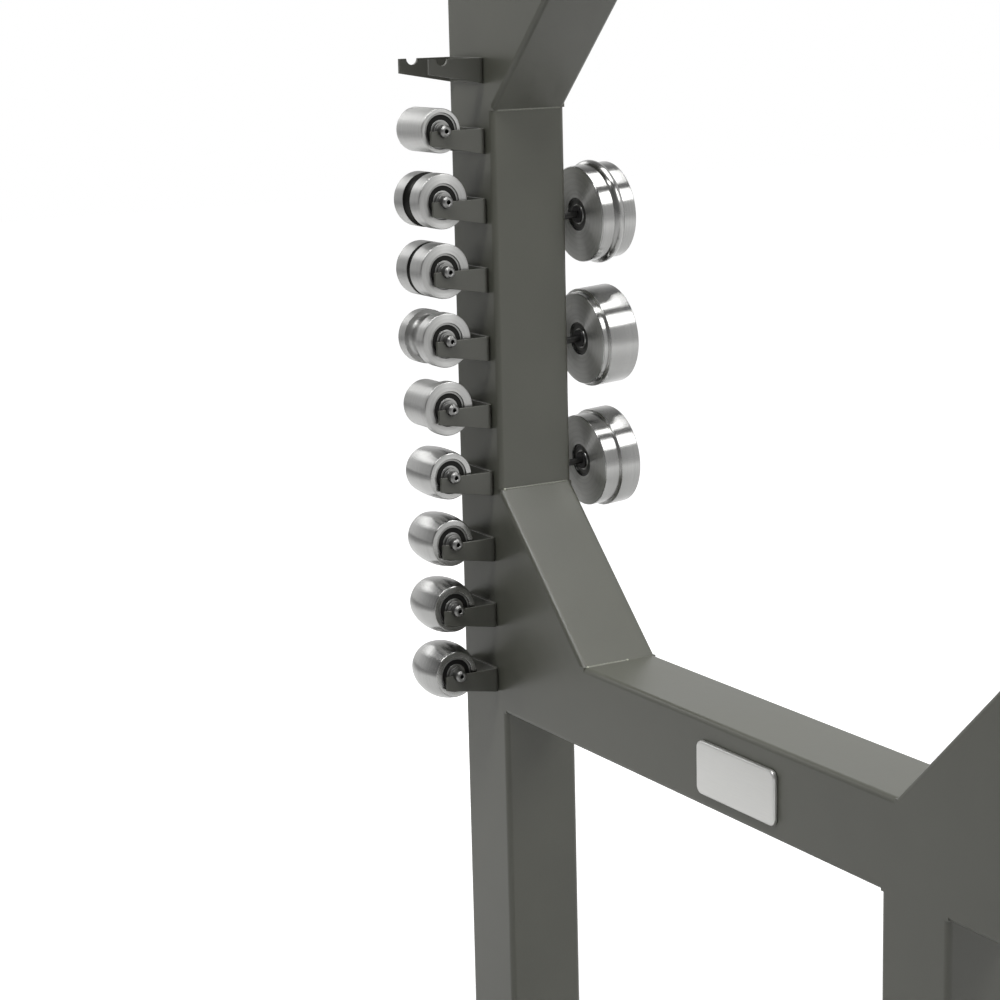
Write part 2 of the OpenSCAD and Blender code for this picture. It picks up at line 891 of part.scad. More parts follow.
// Upper yoke: a top block bolted under the head post, with two cheeks that hold the axle
module upper_yoke() {
    color(paint)
        difference() {
            union() {
                for (side = [-1, 1])
                    translate([wheel_x, side * (upper_gap + cheek_t) / 2, wheel_z])
                        rotate([90, 0, 0])
                            linear_extrude(cheek_t, center = true)
                                cheek_outline();
                translate([post_back, -upper_yoke_y / 2, yoke_under])
                    cube([tube, upper_yoke_y, yoke_block_t]);
            }
            at_wheel()
                cylinder(h = upper_yoke_y + 2 * cut, d = bearing_bore, center = true);
            for (side = [-1, 1])
                translate([wheel_x + side * yoke_bolt_pitch / 2, 0, yoke_under - cut])
                    cylinder(h = yoke_block_t + 2 * cut, d = yoke_bolt_d + 2 * run_fit);
        }
}

// Two bolts that hold the upper yoke to the head post
module yoke_bolts() {
    color(dark_steel)
        for (side = [-1, 1])
            translate([wheel_x + side * yoke_bolt_pitch / 2, 0, yoke_under]) {
                translate([0, 0, -bolt_head_h])
                    cylinder(h = bolt_head_h, d = bolt_head_d, $fn = 6);
                cylinder(h = yoke_block_t + head_plate_t, d = yoke_bolt_d);
            }
}

// Axle of the upper wheel, with a spacer ring between each bearing and its cheek
module wheel_axle() {
    spacer_t = wheel_side_gap + bearing_recess - face_gap;
    color(bright_steel)
        at_wheel() {
            cylinder(h = axle_span, d = bearing_bore - 2 * run_fit, center = true);
            for (side = [0, 1])
                mirror([0, 0, side])
                    translate([0, 0, upper_gap / 2 - spacer_t])
                        linear_extrude(spacer_t)
                            difference() {
                                circle(d = spacer_d);
                                circle(d = bearing_bore);
                            }
        }
}

// Nuts on both ends of the upper axle
module axle_nuts() {
    color(dark_steel)
        at_wheel()
            for (side = [0, 1])
                mirror([0, 0, side])
                    translate([0, 0, upper_yoke_y / 2])
                        hex_nut(axle_nut_d, axle_nut_h, bearing_bore);
}

// Upper wheel: broad rim, thin web and a hub with two bearing pockets
module upper_wheel() {
    r = wheel_d / 2;
    hub_r = wheel_hub_d / 2;
    rim_in = r - wheel_rim_t;
    web_in = hub_r + wheel_fillet;
    web_out = rim_in - wheel_fillet;
    color(bright_steel)
        at_wheel()
            rotate_extrude()
                difference() {
                    translate([0, -wheel_w / 2])
                        square([r, wheel_w]);
                    rim_cuts(r, wheel_w);
                    for (side = [0, 1])
                        mirror([0, side]) {
                            translate([hub_r, wheel_web_t / 2 + wheel_fillet])
                                square([rim_in - hub_r, wheel_w]);
                            translate([web_in, wheel_web_t / 2])
                                square([web_out - web_in, wheel_w]);
                            for (x = [web_in, web_out])
                                translate([x, wheel_web_t / 2 + wheel_fillet])
                                    circle(wheel_fillet);
                        }
                    pockets(bearing_bore, wheel_bearing_d / 2 + press_gap, wheel_bearing_w, wheel_w);
                }
}

// Bearings of the upper wheel
module upper_wheel_bearings() {
    color(dark_steel)
        at_wheel()
            bearing_pair(bearing_bore, wheel_bearing_d, wheel_bearing_w, wheel_w);
}

// Guides for the square ram, one at the top of the post and one low inside it
module ram_guides() {
    inside = tube - 2 * tube_wall;
    hole = ram_w + 2 * slide_fit;
    color(bronze)
        for (z = [guide_low, post_top - guide_h])
            translate([wheel_x, 0, z])
                linear_extrude(guide_h)
                    difference() {
                        square(inside, center = true);
                        square(hole, center = true);
                    }
}

// Plate welded under the ram post, bored for the screw's journal
module post_plate() {
    color(paint)
        translate([wheel_x, 0, arm_bottom - post_plate_t])
            linear_extrude(post_plate_t)
                difference() {
                    rounded_square([tube, tube], edge_r);
                    circle(d = shaft_d + 2 * run_fit);
                }
}

// Thrust bearing that carries the screw on the post plate
module thrust_bearing() {
    color(bright_steel)
        translate([wheel_x, 0, arm_bottom])
            rotate_extrude()
                difference() {
                    translate([shaft_d / 2 + run_fit, 0])
                        square([(thrust_d - shaft_d) / 2 - run_fit, thrust_h]);
                    translate([thrust_d / 2, thrust_h / 2])
                        square(thrust_groove, center = true);
                }
}

// Square ram with a bore for the screw and a pocket for its nut
module ram() {
    color(bright_steel)
        translate([wheel_x, 0, ram_bottom])
            difference() {
                linear_extrude(ram_len)
                    rounded_square([ram_w, ram_w], ram_edge_r);
                translate([0, 0, -cut])
                    cylinder(h = ram_len - ram_top_wall + cut, d = ram_bore_d);
                translate([0, 0, -cut])
                    cylinder(h = nut_h + cut, d = nut_d + 2 * press_gap);
            }
}

// Nut of the lifting screw, pressed into the foot of the ram
module lift_nut() {
    color(bronze)
        translate([wheel_x, 0, ram_bottom])
            linear_extrude(nut_h)
                difference() {
                    circle(d = nut_d);
                    circle(d = screw_d + 2 * run_fit);
                }
}

// Lower yoke on top of the ram, with open seats for the axle of the lower anvil
module lower_yoke() {
    inner_r = anvil_floor_gap;
    height = cheek_top_z - lower_base_z;
    color(paint)
        translate([wheel_x, 0, lower_base_z])
            difference() {
                intersection() {
                    rotate([90, 0, 90])
                        linear_extrude(lower_yoke_w, center = true)
                            difference() {
                                translate([-lower_yoke_y / 2, 0])
                                    square([lower_yoke_y, height]);
                                translate([0, lower_base_t + height / 2])
                                    rounded_square([lower_gap, height], inner_r);
                                translate([-lower_gap / 2, lower_base_t + height / 2])
                                    square([lower_gap, height]);
                            }
                    rotate([90, 0, 0])
                        linear_extrude(lower_yoke_y + 2 * cut, center = true)
                            rounded_square([lower_yoke_w, 2 * height], lower_cheek_r);
                }
                translate([0, 0, work_seat_z - lower_base_z])
                    rotate([90, 0, 0])
                        cylinder(h = lower_yoke_y + 2 * cut, r = seat_r, center = true);
                translate([-seat_r, -lower_yoke_y / 2 - cut, work_seat_z - lower_base_z])
                    cube([2 * seat_r, lower_yoke_y + 2 * cut, height]);
            }
}

// Lifting screw: thread, thrust shoulder and the long shaft down to the kick wheel
module lift_screw() {
    shaft_end = kick_hub_low - kick_nut_h;
    color(bright_steel)
        translate([wheel_x, 0, 0]) {
            translate([0, 0, screw_foot])
                cylinder(h = thread_len, d = screw_d);
            translate([0, 0, screw_foot])
                cylinder(h = shoulder_h, d = shoulder_d);
            translate([0, 0, shaft_end])
                cylinder(h = screw_foot - shaft_end + cut, d = shaft_d);
        }
}

// Collar that keeps the screw from lifting out of the post plate
module screw_collar() {
    color(dark_steel)
        translate([wheel_x, 0, arm_bottom - post_plate_t - collar_h - slide_fit])
            linear_extrude(collar_h)
                difference() {
                    circle(d = collar_d);
                    circle(d = shaft_d + 2 * press_gap);
                }
}

// Kick wheel: a round rim bar, plain spokes and a hub on the foot of the screw
module kick_wheel() {
    rim_r = (kick_d - kick_bar_d) / 2;
    color(dark_steel)
        translate([wheel_x, 0, kick_z])
            difference() {
                union() {
                    rotate_extrude()
                        translate([rim_r, 0])
                            circle(d = kick_bar_d);
                    cylinder(h = kick_hub_h, d = kick_hub_d, center = true);
                    for (i = [0 : kick_spokes - 1])
                        rotate([0, 90, 360 * (i + 0.5) / kick_spokes])
                            cylinder(h = rim_r, d = kick_spoke_d);
                }
                cylinder(h = kick_hub_h + 2 * cut, d = shaft_d + 2 * press_gap, center = true);
            }
}

// Nut under the kick wheel's hub
module kick_wheel_nut() {
    color(bright_steel)
        translate([wheel_x, 0, kick_hub_low - kick_nut_h])
            hex_nut(kick_nut_d * 2 / sqrt(3), kick_nut_h, shaft_d + 2 * press_gap);
}

// Lower anvil in use: a gently crowned roller
module work_anvil() {
    color(bright_steel)
        at_work()
            bored_roller()
                crowned_half(work_r - crown_first / 2, crown_first / 2);
}

module work_anvil_axle() {
    color(dark_steel)
        at_work()
            anvil_axle();
}

module work_anvil_bearings() {
    color(dark_steel)
        at_work()
            bearing_pair(bearing_bore, bearing_d, bearing_w, roller_len);
}

// Stored anvil roller k
module stored_anvil(k) {
    color(bright_steel)
        in_rack(k)
            bored_roller()
                roller_half(k);
}

// Axle of stored anvil k with its two bearings pressed on
module stored_axle(k) {
    color(dark_steel)
        in_rack(k) {
            anvil_axle();
            bearing_pair(bearing_bore, bearing_d, bearing_w, roller_len);
        }
}

rear_column();
lower_arm();
upper_arm();
lower_rear_gusset();
upper_rear_gusset();
lower_front_gusset();
upper_front_gusset();
ram_post();
head_post();
front_leg();
base_rail();
cross_feet();
foot_plates();
end_caps();
rack_brackets();
disc_pegs();
peg_sleeves();
upper_yoke();
yoke_bolts();
wheel_axle();
axle_nuts();
ram_guides();
post_plate();
thrust_bearing();
upper_wheel();
upper_wheel_bearings();
ram();
lower_yoke();
lift_nut();
lift_screw();
screw_collar();
kick_wheel();
kick_wheel_nut();
work_anvil();
work_anvil_axle();
work_anvil_bearings();
for (k = [1 : 3]) {
    spare_disc(k);
    disc_bearings(k);
}
for (k = [1 : rack_profiles]) {
    stored_anvil(k);
    stored_axle(k);
}
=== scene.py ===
import json
import math

import bmesh
import bpy
from mathutils import Matrix, Quaternion, Vector

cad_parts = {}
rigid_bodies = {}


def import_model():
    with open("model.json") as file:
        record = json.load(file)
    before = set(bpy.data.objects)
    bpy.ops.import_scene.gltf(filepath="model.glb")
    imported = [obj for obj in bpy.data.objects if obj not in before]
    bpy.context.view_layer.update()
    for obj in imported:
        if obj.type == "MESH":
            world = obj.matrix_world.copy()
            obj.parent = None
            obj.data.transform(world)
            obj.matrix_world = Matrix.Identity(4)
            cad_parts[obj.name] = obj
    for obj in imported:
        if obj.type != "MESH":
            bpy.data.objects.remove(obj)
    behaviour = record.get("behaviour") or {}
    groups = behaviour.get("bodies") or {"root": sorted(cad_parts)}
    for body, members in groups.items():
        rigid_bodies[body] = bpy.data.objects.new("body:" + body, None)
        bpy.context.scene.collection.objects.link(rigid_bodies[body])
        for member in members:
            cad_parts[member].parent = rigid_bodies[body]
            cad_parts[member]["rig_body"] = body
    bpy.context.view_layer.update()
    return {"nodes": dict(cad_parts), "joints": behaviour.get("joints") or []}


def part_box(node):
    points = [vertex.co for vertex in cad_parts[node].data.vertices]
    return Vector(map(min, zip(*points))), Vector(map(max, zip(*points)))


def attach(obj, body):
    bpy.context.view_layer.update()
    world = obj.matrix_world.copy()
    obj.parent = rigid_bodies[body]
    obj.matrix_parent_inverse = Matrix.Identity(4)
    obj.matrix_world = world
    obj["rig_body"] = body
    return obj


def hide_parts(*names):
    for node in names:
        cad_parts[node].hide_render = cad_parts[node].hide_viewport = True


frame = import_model()

# Units and shared numbers
MM = 0.001
TURN = 2 * math.pi
LATHE_STEPS = 144

# Sockets of the colour mix node
MIX_SHARE = 0
MIX_FIRST = 6
MIX_SECOND = 7
MIX_RESULT = 2

# Camera: where the photograph was taken from, in the part's frame
CAMERA_PLACE = Vector((1.99264, -1.51057, 1.52070))
CAMERA_AZIMUTH = math.radians(30.1188)
CAMERA_ELEVATION = math.radians(11.8978)
CAMERA_ROLL = math.radians(-1.4207)
CAMERA_LENS = 89.148
CAMERA_SENSOR = 36.0
CAMERA_REACH = 60.0

# Colours, linear
PAINT_GREY = (0.104, 0.106, 0.087)
BRACKET_GREY = (0.096, 0.097, 0.084)
KICK_BLACK = (0.028, 0.028, 0.027)
STEEL_LIGHT = (0.50, 0.50, 0.49)
STEEL_MID = (0.42, 0.42, 0.41)
STEEL_DARK = (0.085, 0.085, 0.083)
# A dark grey for the roller grooves: painted shade of the groove's hollow
GROOVE_PAINTED_SHADE = (0.040, 0.040, 0.038)
BRONZE = (0.47, 0.31, 0.13)
RUBBER = (0.014, 0.014, 0.013)
SLEEVE_BLACK = (0.018, 0.018, 0.018)
PLATE_SILVER = (0.68, 0.68, 0.66)
WHITE = (1.0, 1.0, 1.0, 1.0)


# Shader helpers

def add_node(tree, kind, inputs=None, **settings):
    """A new shader node; each input takes a number, a colour or another node's output."""
    node = tree.nodes.new(kind)
    for key, value in settings.items():
        setattr(node, key, value)
    for key, value in (inputs or {}).items():
        if isinstance(value, bpy.types.NodeSocket):
            tree.links.new(value, node.inputs[key])
        else:
            node.inputs[key].default_value = value
    return node


def blank_material(name):
    """A material with a bare Principled shader: the material, its tree and the shader."""
    material = bpy.data.materials.new(name)
    material.use_nodes = True
    tree = material.node_tree
    return material, tree, tree.nodes["Principled BSDF"]


def object_place(tree):
    """The place of a shaded point in its own object, in metres."""
    return add_node(tree, "ShaderNodeTexCoord").outputs["Object"]


def noise(tree, place, scale, detail=2.0, roughness=0.5):
    """A noise field, from 0 to 1."""
    values = {"Vector": place, "Scale": scale, "Detail": detail, "Roughness": roughness}
    return add_node(tree, "ShaderNodeTexNoise", values).outputs["Fac"]


def remap(tree, value, low, high, out_low, out_high):
    """A field stretched from one range to another, and held at its ends."""
    values = {"Value": value, "From Min": low, "From Max": high, "To Min": out_low, "To Max": out_high}
    return add_node(tree, "ShaderNodeMapRange", values).outputs["Result"]


def arithmetic(tree, operation, first, second):
    """Two fields or numbers joined by an operation."""
    node = add_node(tree, "ShaderNodeMath", {0: first, 1: second}, operation=operation)
    return node.outputs["Value"]


def length_of(tree, vector):
    """The length of a vector field."""
    return add_node(tree, "ShaderNodeVectorMath", {0: vector}, operation="LENGTH").outputs["Value"]


def blend_colours(tree, share, first, second):
    """A colour between two, by a field."""
    values = {MIX_SHARE: share, MIX_FIRST: (*first, 1.0), MIX_SECOND: (*second, 1.0)}
    return add_node(tree, "ShaderNodeMix", values, data_type="RGBA").outputs[MIX_RESULT]


def shaded(colour, factor):
    """A colour made darker or lighter."""
    return tuple(min(1.0, channel * factor) for channel in colour)


def colour_by(tree, shader, field, colour, shades):
    """Colours a shader from a darker to a lighter shade, by a field."""
    dark, light = shades
    blend = blend_colours(tree, field, shaded(colour, dark), shaded(colour, light))
    tree.links.new(blend, shader.inputs["Base Color"])


def roughen_by(tree, shader, field, span, roughness, spread):
    """Varies a shader's roughness below and above a middle value, by a field."""
    below, above = spread
    varied = remap(tree, field, *span, roughness - below, roughness + above)
    tree.links.new(varied, shader.inputs["Roughness"])


def bump_by(tree, shader, height, distance, strength):
    """Bumps a shader by a height field, where distance is the height of 1 in metres."""
    values = {"Height": height, "Distance": distance, "Strength": strength}
    bump = add_node(tree, "ShaderNodeBump", values)
    tree.links.new(bump.outputs["Normal"], shader.inputs["Normal"])


# Satin paint: noise scales per metre, shares, ranges and depth
PAINT_DRIFT_SCALE = 5.0
PAINT_DRIFT_DETAIL = 3.0
PAINT_GRAIN_SCALE = 620.0
PAINT_RIPPLE_SCALE = 55.0
PAINT_GRAIN_TONE = 0.25
PAINT_GRAIN_HEIGHT = 0.30
PAINT_TONE_SPAN = (0.20, 1.05)
PAINT_DRIFT_SPAN = (0.1, 0.9)
PAINT_SHADES = (0.82, 1.18)
PAINT_SPREAD = (0.055, 0.06)
PAINT_DEPTH = 0.00012
PAINT_BUMP = 0.55


def satin_paint(name, colour, roughness=0.34):
    """Satin machine paint: a broad drift of tone, a fine sprayed grain and a slight ripple."""
    material, tree, shader = blank_material(name)
    place = object_place(tree)
    drift = noise(tree, place, PAINT_DRIFT_SCALE, PAINT_DRIFT_DETAIL)
    grain = noise(tree, place, PAINT_GRAIN_SCALE)
    ripple = noise(tree, place, PAINT_RIPPLE_SCALE)
    tone = arithmetic(tree, "ADD", drift, arithmetic(tree, "MULTIPLY", grain, PAINT_GRAIN_TONE))
    tone = remap(tree, tone, *PAINT_TONE_SPAN, 0.0, 1.0)
    colour_by(tree, shader, tone, colour, PAINT_SHADES)
    roughen_by(tree, shader, drift, PAINT_DRIFT_SPAN, roughness, PAINT_SPREAD)
    height = arithmetic(tree, "ADD", arithmetic(tree, "MULTIPLY", grain, PAINT_GRAIN_HEIGHT), ripple)
    bump_by(tree, shader, height, PAINT_DEPTH, PAINT_BUMP)
    return material


# Turned steel: ring and smear scales per metre, shares, ranges and depth
FINE_RING_SCALE = 2600.0
FINE_RING_ROUGHNESS = 0.6
BROAD_RING_SCALE = 420.0
SMEAR_SCALE = 38.0
SMEAR_DETAIL = 3.0
FINE_RING_TONE = 0.5
WEAR_SHARE = 0.5
RING_TONE_SPAN = (0.30, 1.2)
WEAR_SPAN = (0.2, 0.8)
TURNED_SHADES = (0.84, 1.12)
TURNED_SPREAD = (0.03, 0.03)
RING_DEPTH = 0.00004
# The highlights of turned steel run across the tool marks
QUARTER_TURN = 0.25


def turned_steel(name, colour, shade, roughness, pull, lines):
    """Steel from a lathe: fine rings round the piece's own Z axis, which also pull the highlights out."""
    material, tree, shader = blank_material(name)
    place = object_place(tree)
    parts = add_node(tree, "ShaderNodeSeparateXYZ", {"Vector": place}).outputs
    flat = add_node(tree, "ShaderNodeCombineXYZ", {"X": parts["X"], "Y": parts["Y"]}).outputs["Vector"]
    radius = length_of(tree, flat)
    rings = add_node(tree, "ShaderNodeCombineXYZ", {"X": radius, "Y": parts["Z"]}).outputs["Vector"]
    fine = noise(tree, rings, FINE_RING_SCALE, roughness=FINE_RING_ROUGHNESS)
    broad = noise(tree, rings, BROAD_RING_SCALE)
    smear = noise(tree, place, SMEAR_SCALE, SMEAR_DETAIL)
    tone = arithmetic(tree, "ADD", arithmetic(tree, "MULTIPLY", fine, FINE_RING_TONE), broad)
    tone = remap(tree, tone, *RING_TONE_SPAN, 0.0, 1.0)
    colour_by(tree, shader, tone, shaded(colour, shade), TURNED_SHADES)
    broad_wear = arithmetic(tree, "MULTIPLY", broad, WEAR_SHARE)
    smear_wear = arithmetic(tree, "MULTIPLY", smear, WEAR_SHARE)
    wear = arithmetic(tree, "ADD", broad_wear, smear_wear)
    roughen_by(tree, shader, wear, WEAR_SPAN, roughness, TURNED_SPREAD)
    bump_by(tree, shader, fine, RING_DEPTH, lines)
    tangent = add_node(tree, "ShaderNodeTangent", direction_type="RADIAL", axis="Z")
    tree.links.new(tangent.outputs["Tangent"], shader.inputs["Tangent"])
    shader.inputs["Metallic"].default_value = 1.0
    shader.inputs["Anisotropic"].default_value = pull
    shader.inputs["Anisotropic Rotation"].default_value = QUARTER_TURN
    return material


# Plain metal, brushed plate and moulded pieces: scales per metre, ranges and depth
MOTTLE_SCALE = 70.0
MOTTLE_DETAIL = 4.0
METAL_GRAIN_SCALE = 1500.0
METAL_SHADES = (0.86, 1.10)
METAL_BUMP = 0.5
BRUSH_STRETCH = (40.0, 2400.0, 2400.0)
BRUSH_SHADES = (0.90, 1.06)
BRUSH_SPREAD = (0.05, 0.07)
BRUSH_BUMP = 0.4
BRUSH_METALLIC = 0.85
CLOUD_SCALE = 120.0
CLOUD_DETAIL = 3.0
MOULD_GRAIN_SCALE = 2200.0
MOULD_GRAIN_DETAIL = 1.0
MOULD_SHADES = (0.7, 1.4)
MOULD_BUMP = 0.4
MIDDLE_SPAN = (0.3, 0.7)
EVEN_SPREAD = (0.06, 0.06)
GRAIN_DEPTH = 0.00003


def plain_metal(name, colour, roughness):
    """Ground or cast metal with a faint mottled finish."""
    material, tree, shader = blank_material(name)
    place = object_place(tree)
    mottle = noise(tree, place, MOTTLE_SCALE, MOTTLE_DETAIL)
    grain = noise(tree, place, METAL_GRAIN_SCALE)
    colour_by(tree, shader, mottle, colour, METAL_SHADES)
    roughen_by(tree, shader, mottle, MIDDLE_SPAN, roughness, EVEN_SPREAD)
    bump_by(tree, shader, grain, GRAIN_DEPTH, METAL_BUMP)
    shader.inputs["Metallic"].default_value = 1.0
    return material


def brushed_plate(name, colour, roughness):
    """Silver sheet brushed along the machine."""
    material, tree, shader = blank_material(name)
    place = object_place(tree)
    stretched = add_node(tree, "ShaderNodeMapping", {"Vector": place, "Scale": BRUSH_STRETCH})
    lines = noise(tree, stretched.outputs["Vector"], 1.0)
    colour_by(tree, shader, lines, colour, BRUSH_SHADES)
    roughen_by(tree, shader, lines, MIDDLE_SPAN, roughness, BRUSH_SPREAD)
    bump_by(tree, shader, lines, GRAIN_DEPTH, BRUSH_BUMP)
    shader.inputs["Metallic"].default_value = BRUSH_METALLIC
    return material


def moulded(name, colour, roughness, shine):
    """Black rubber or plastic with a fine moulded grain."""
    material, tree, shader = blank_material(name)
    place = object_place(tree)
    cloud = noise(tree, place, CLOUD_SCALE, CLOUD_DETAIL)
    grain = noise(tree, place, MOULD_GRAIN_SCALE, MOULD_GRAIN_DETAIL)
    colour_by(tree, shader, cloud, colour, MOULD_SHADES)
    roughen_by(tree, shader, cloud, MIDDLE_SPAN, roughness, EVEN_SPREAD)
    bump_by(tree, shader, grain, GRAIN_DEPTH, MOULD_BUMP)
    shader.inputs["Specular IOR Level"].default_value = shine
    return material


FRAME_PAINT = satin_paint("frame_paint", PAINT_GREY)
BRACKET_PAINT = satin_paint("bracket_paint", BRACKET_GREY, roughness=0.42)
# Welds in a paint lighter than the frame's: a painted highlight along the folds
WELD_PAINTED_HIGHLIGHT = satin_paint("weld_painted_highlight", shaded(PAINT_GREY, 1.9))
# A paint far lighter than the frame's for the weld stops: a painted glint
WELD_STOP_PAINTED_GLINT = satin_paint("weld_stop_painted_glint", shaded(PAINT_GREY, 4.5))
KICK_PAINT = satin_paint("kick_paint", KICK_BLACK, roughness=0.36)
MATTE_TURNED = turned_steel(
    "matte_turned_steel", STEEL_LIGHT, shade=1.16, roughness=0.47, pull=0.50, lines=0.8,
)
TURNED = turned_steel("turned_steel", STEEL_LIGHT, shade=1.0, roughness=0.41, pull=0.70, lines=0.6)
POLISHED = turned_steel("polished_steel", STEEL_LIGHT, shade=0.90, roughness=0.235, pull=0.85, lines=0.25)
# Steel for the disc faces, made far lighter than the band's: a painted reflection of light the faces don't
# catch
FACED_PAINTED_REFLECTION = turned_steel("faced_steel_painted_reflection", STEEL_LIGHT, shade=1.5, roughness=0.36, pull=0.90, lines=0.10)
BAND = turned_steel("disc_band_steel", STEEL_LIGHT, shade=0.72, roughness=0.235, pull=0.80, lines=0.20)
# Dark steel for the roller grooves: painted shade of the groove's hollow
GROOVE_SHADE_STEEL = turned_steel("groove_painted_shade_steel", GROOVE_PAINTED_SHADE, shade=1.0, roughness=0.45, pull=0.50, lines=0.4)
RING_STEEL = turned_steel("bearing_ring_steel", STEEL_MID, shade=0.85, roughness=0.33, pull=0.40, lines=0.3)
RACE_STEEL = turned_steel("outer_race_steel", STEEL_MID, shade=0.80, roughness=0.40, pull=0.40, lines=0.3)
# Steel darkened far below the other rings: painted shade of the recess round the disc bearings, on their
# shields and outer rings
BEARING_PAINTED_SHADE = turned_steel(
    "bearing_painted_shade_steel", STEEL_MID, shade=0.42, roughness=0.45, pull=0.40, lines=0.3,
)
# Dark steel inside the centre holes: painted shade of the hole
HOLE_PAINTED_SHADE = turned_steel("centre_hole_painted_shade", STEEL_DARK, shade=0.7, roughness=0.45, pull=0.40, lines=0.3)
AXLE_STEEL = turned_steel("axle_steel", STEEL_MID, shade=0.65, roughness=0.40, pull=0.40, lines=0.5)
GROUND = plain_metal("ground_steel", STEEL_MID, roughness=0.35)
BLACK_OXIDE = plain_metal("black_oxide", STEEL_DARK, roughness=0.42)
BRONZE_METAL = plain_metal("bronze", BRONZE, roughness=0.36)
SEAL_RUBBER = moulded("seal_rubber", RUBBER, roughness=0.58, shine=0.15)
SLEEVE = moulded("sleeve_plastic", SLEEVE_BLACK, roughness=0.42, shine=0.35)
SILVER = brushed_plate("silver_plate", PLATE_SILVER, roughness=0.36)


# Mesh helpers: the most of a side that a fillet takes, the axis, and the limits for broken edges
FILLET_SHARE = 0.49
ON_AXIS = 1e-6
SAME_POINT = 1e-6
FLAT_ANGLE = math.radians(0.5)
SHARP_ANGLE = math.radians(35)
BEAD_SIDES = 8
BEAD_END = 0.4


def finish_mesh(name, mesh, materials, body, nodes=(), matrix=None, smooth_angle=32.0):
    """Puts a mesh into the scene as a piece that rides on a body and stands for some nodes."""
    mesh.shade_smooth()
    mesh.set_sharp_from_angle(angle=math.radians(smooth_angle))
    piece = bpy.data.objects.new(name, mesh)
    bpy.context.scene.collection.objects.link(piece)
    for material in materials:
        piece.data.materials.append(material)
    if matrix is not None:
        piece.matrix_world = matrix
    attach(piece, body)
    if nodes:
        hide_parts(*nodes)
    return piece


def built_mesh(name, builder):
    """The mesh of what was under construction."""
    mesh = bpy.data.meshes.new(name)
    builder.to_mesh(mesh)
    builder.free()
    return mesh


def rounded(points, steps=5):
    """A closed outline of (r, z) or (r, z, fillet) points, with an arc at each fillet."""
    outline = []
    count = len(points)
    for i, point in enumerate(points):
        corner = Vector(point[:2])
        fillet = point[2] if len(point) > 2 else 0.0
        before = Vector(points[i - 1][:2]) - corner
        after = Vector(points[(i + 1) % count][:2]) - corner
        if fillet <= 0.0:
            outline.append(tuple(corner))
            continue
        half = before.angle(after) / 2
        reach = min(fillet / math.tan(half), FILLET_SHARE * before.length, FILLET_SHARE * after.length)
        radius = reach * math.tan(half)
        start = corner + before.normalized() * reach
        end = corner + after.normalized() * reach
        inward = (before.normalized() + after.normalized()).normalized()
        middle = corner + inward * radius / math.sin(half)
        for j in range(steps + 1):
            along = start.lerp(end, j / steps) - middle
            outline.append(tuple(middle + along.normalized() * radius))
    return outline


def turn_outline(builder, outline, material_index, steps=LATHE_STEPS):
    """Adds a closed outline, in millimetres, turned about the Z axis, to a mesh under construction."""
    rings = []
    for r, z in outline:
        if r < ON_AXIS:
            rings.append([builder.verts.new((0.0, 0.0, z * MM))])
            continue
        ring = []
        for i in range(steps):
            angle = TURN * i / steps
            ring.append(builder.verts.new((r * MM * math.cos(angle), r * MM * math.sin(angle), z * MM)))
        rings.append(ring)
    for a, b in zip(rings, rings[1:] + rings[:1]):
        if len(a) == 1 and len(b) == 1:
            continue
        for i in range(steps):
            j = (i + 1) % steps
            corners = [a[i % len(a)], a[j % len(a)], b[j % len(b)], b[i % len(b)]]
            unique = [v for n, v in enumerate(corners) if v not in corners[:n]]
            face = builder.faces.new(unique)
            face.material_index = material_index


def lathe(name, outlines, materials, place, body, nodes=(), steps=LATHE_STEPS):
    """A turned piece of one or more closed outlines; place is its centre and its axis, which +Z follows."""
    builder = bmesh.new()
    for outline, material_index in outlines:
        turn_outline(builder, outline, material_index, steps)
    bmesh.ops.recalc_face_normals(builder, faces=builder.faces)
    mesh = built_mesh(name, builder)
    centre, axis = place
    matrix = Matrix.Translation(centre) @ axis.to_track_quat("Z", "Y").to_matrix().to_4x4()
    return finish_mesh(name, mesh, materials, body, nodes, matrix)


def soft_copy(node, bevel, material, segments=3):
    """A copy of a node with its sharp edges broken, which stands for the node."""
    builder = bmesh.new()
    builder.from_mesh(frame["nodes"][node].data)
    bmesh.ops.remove_doubles(builder, verts=builder.verts, dist=SAME_POINT)
    bmesh.ops.dissolve_limit(builder, angle_limit=FLAT_ANGLE, verts=builder.verts, edges=builder.edges)
    for face in builder.faces:
        face.material_index = 0
    mesh = built_mesh(node + "_soft", builder)
    piece = finish_mesh(node + "_finish", mesh, [material], frame["nodes"][node]["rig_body"], [node])
    edge = piece.modifiers.new("edges", "BEVEL")
    edge.limit_method = "ANGLE"
    edge.angle_limit = SHARP_ANGLE
    edge.width = bevel * MM
    edge.segments = segments
    edge.use_clamp_overlap = True
    normals = piece.modifiers.new("normals", "WEIGHTED_NORMAL")
    normals.keep_sharp = True


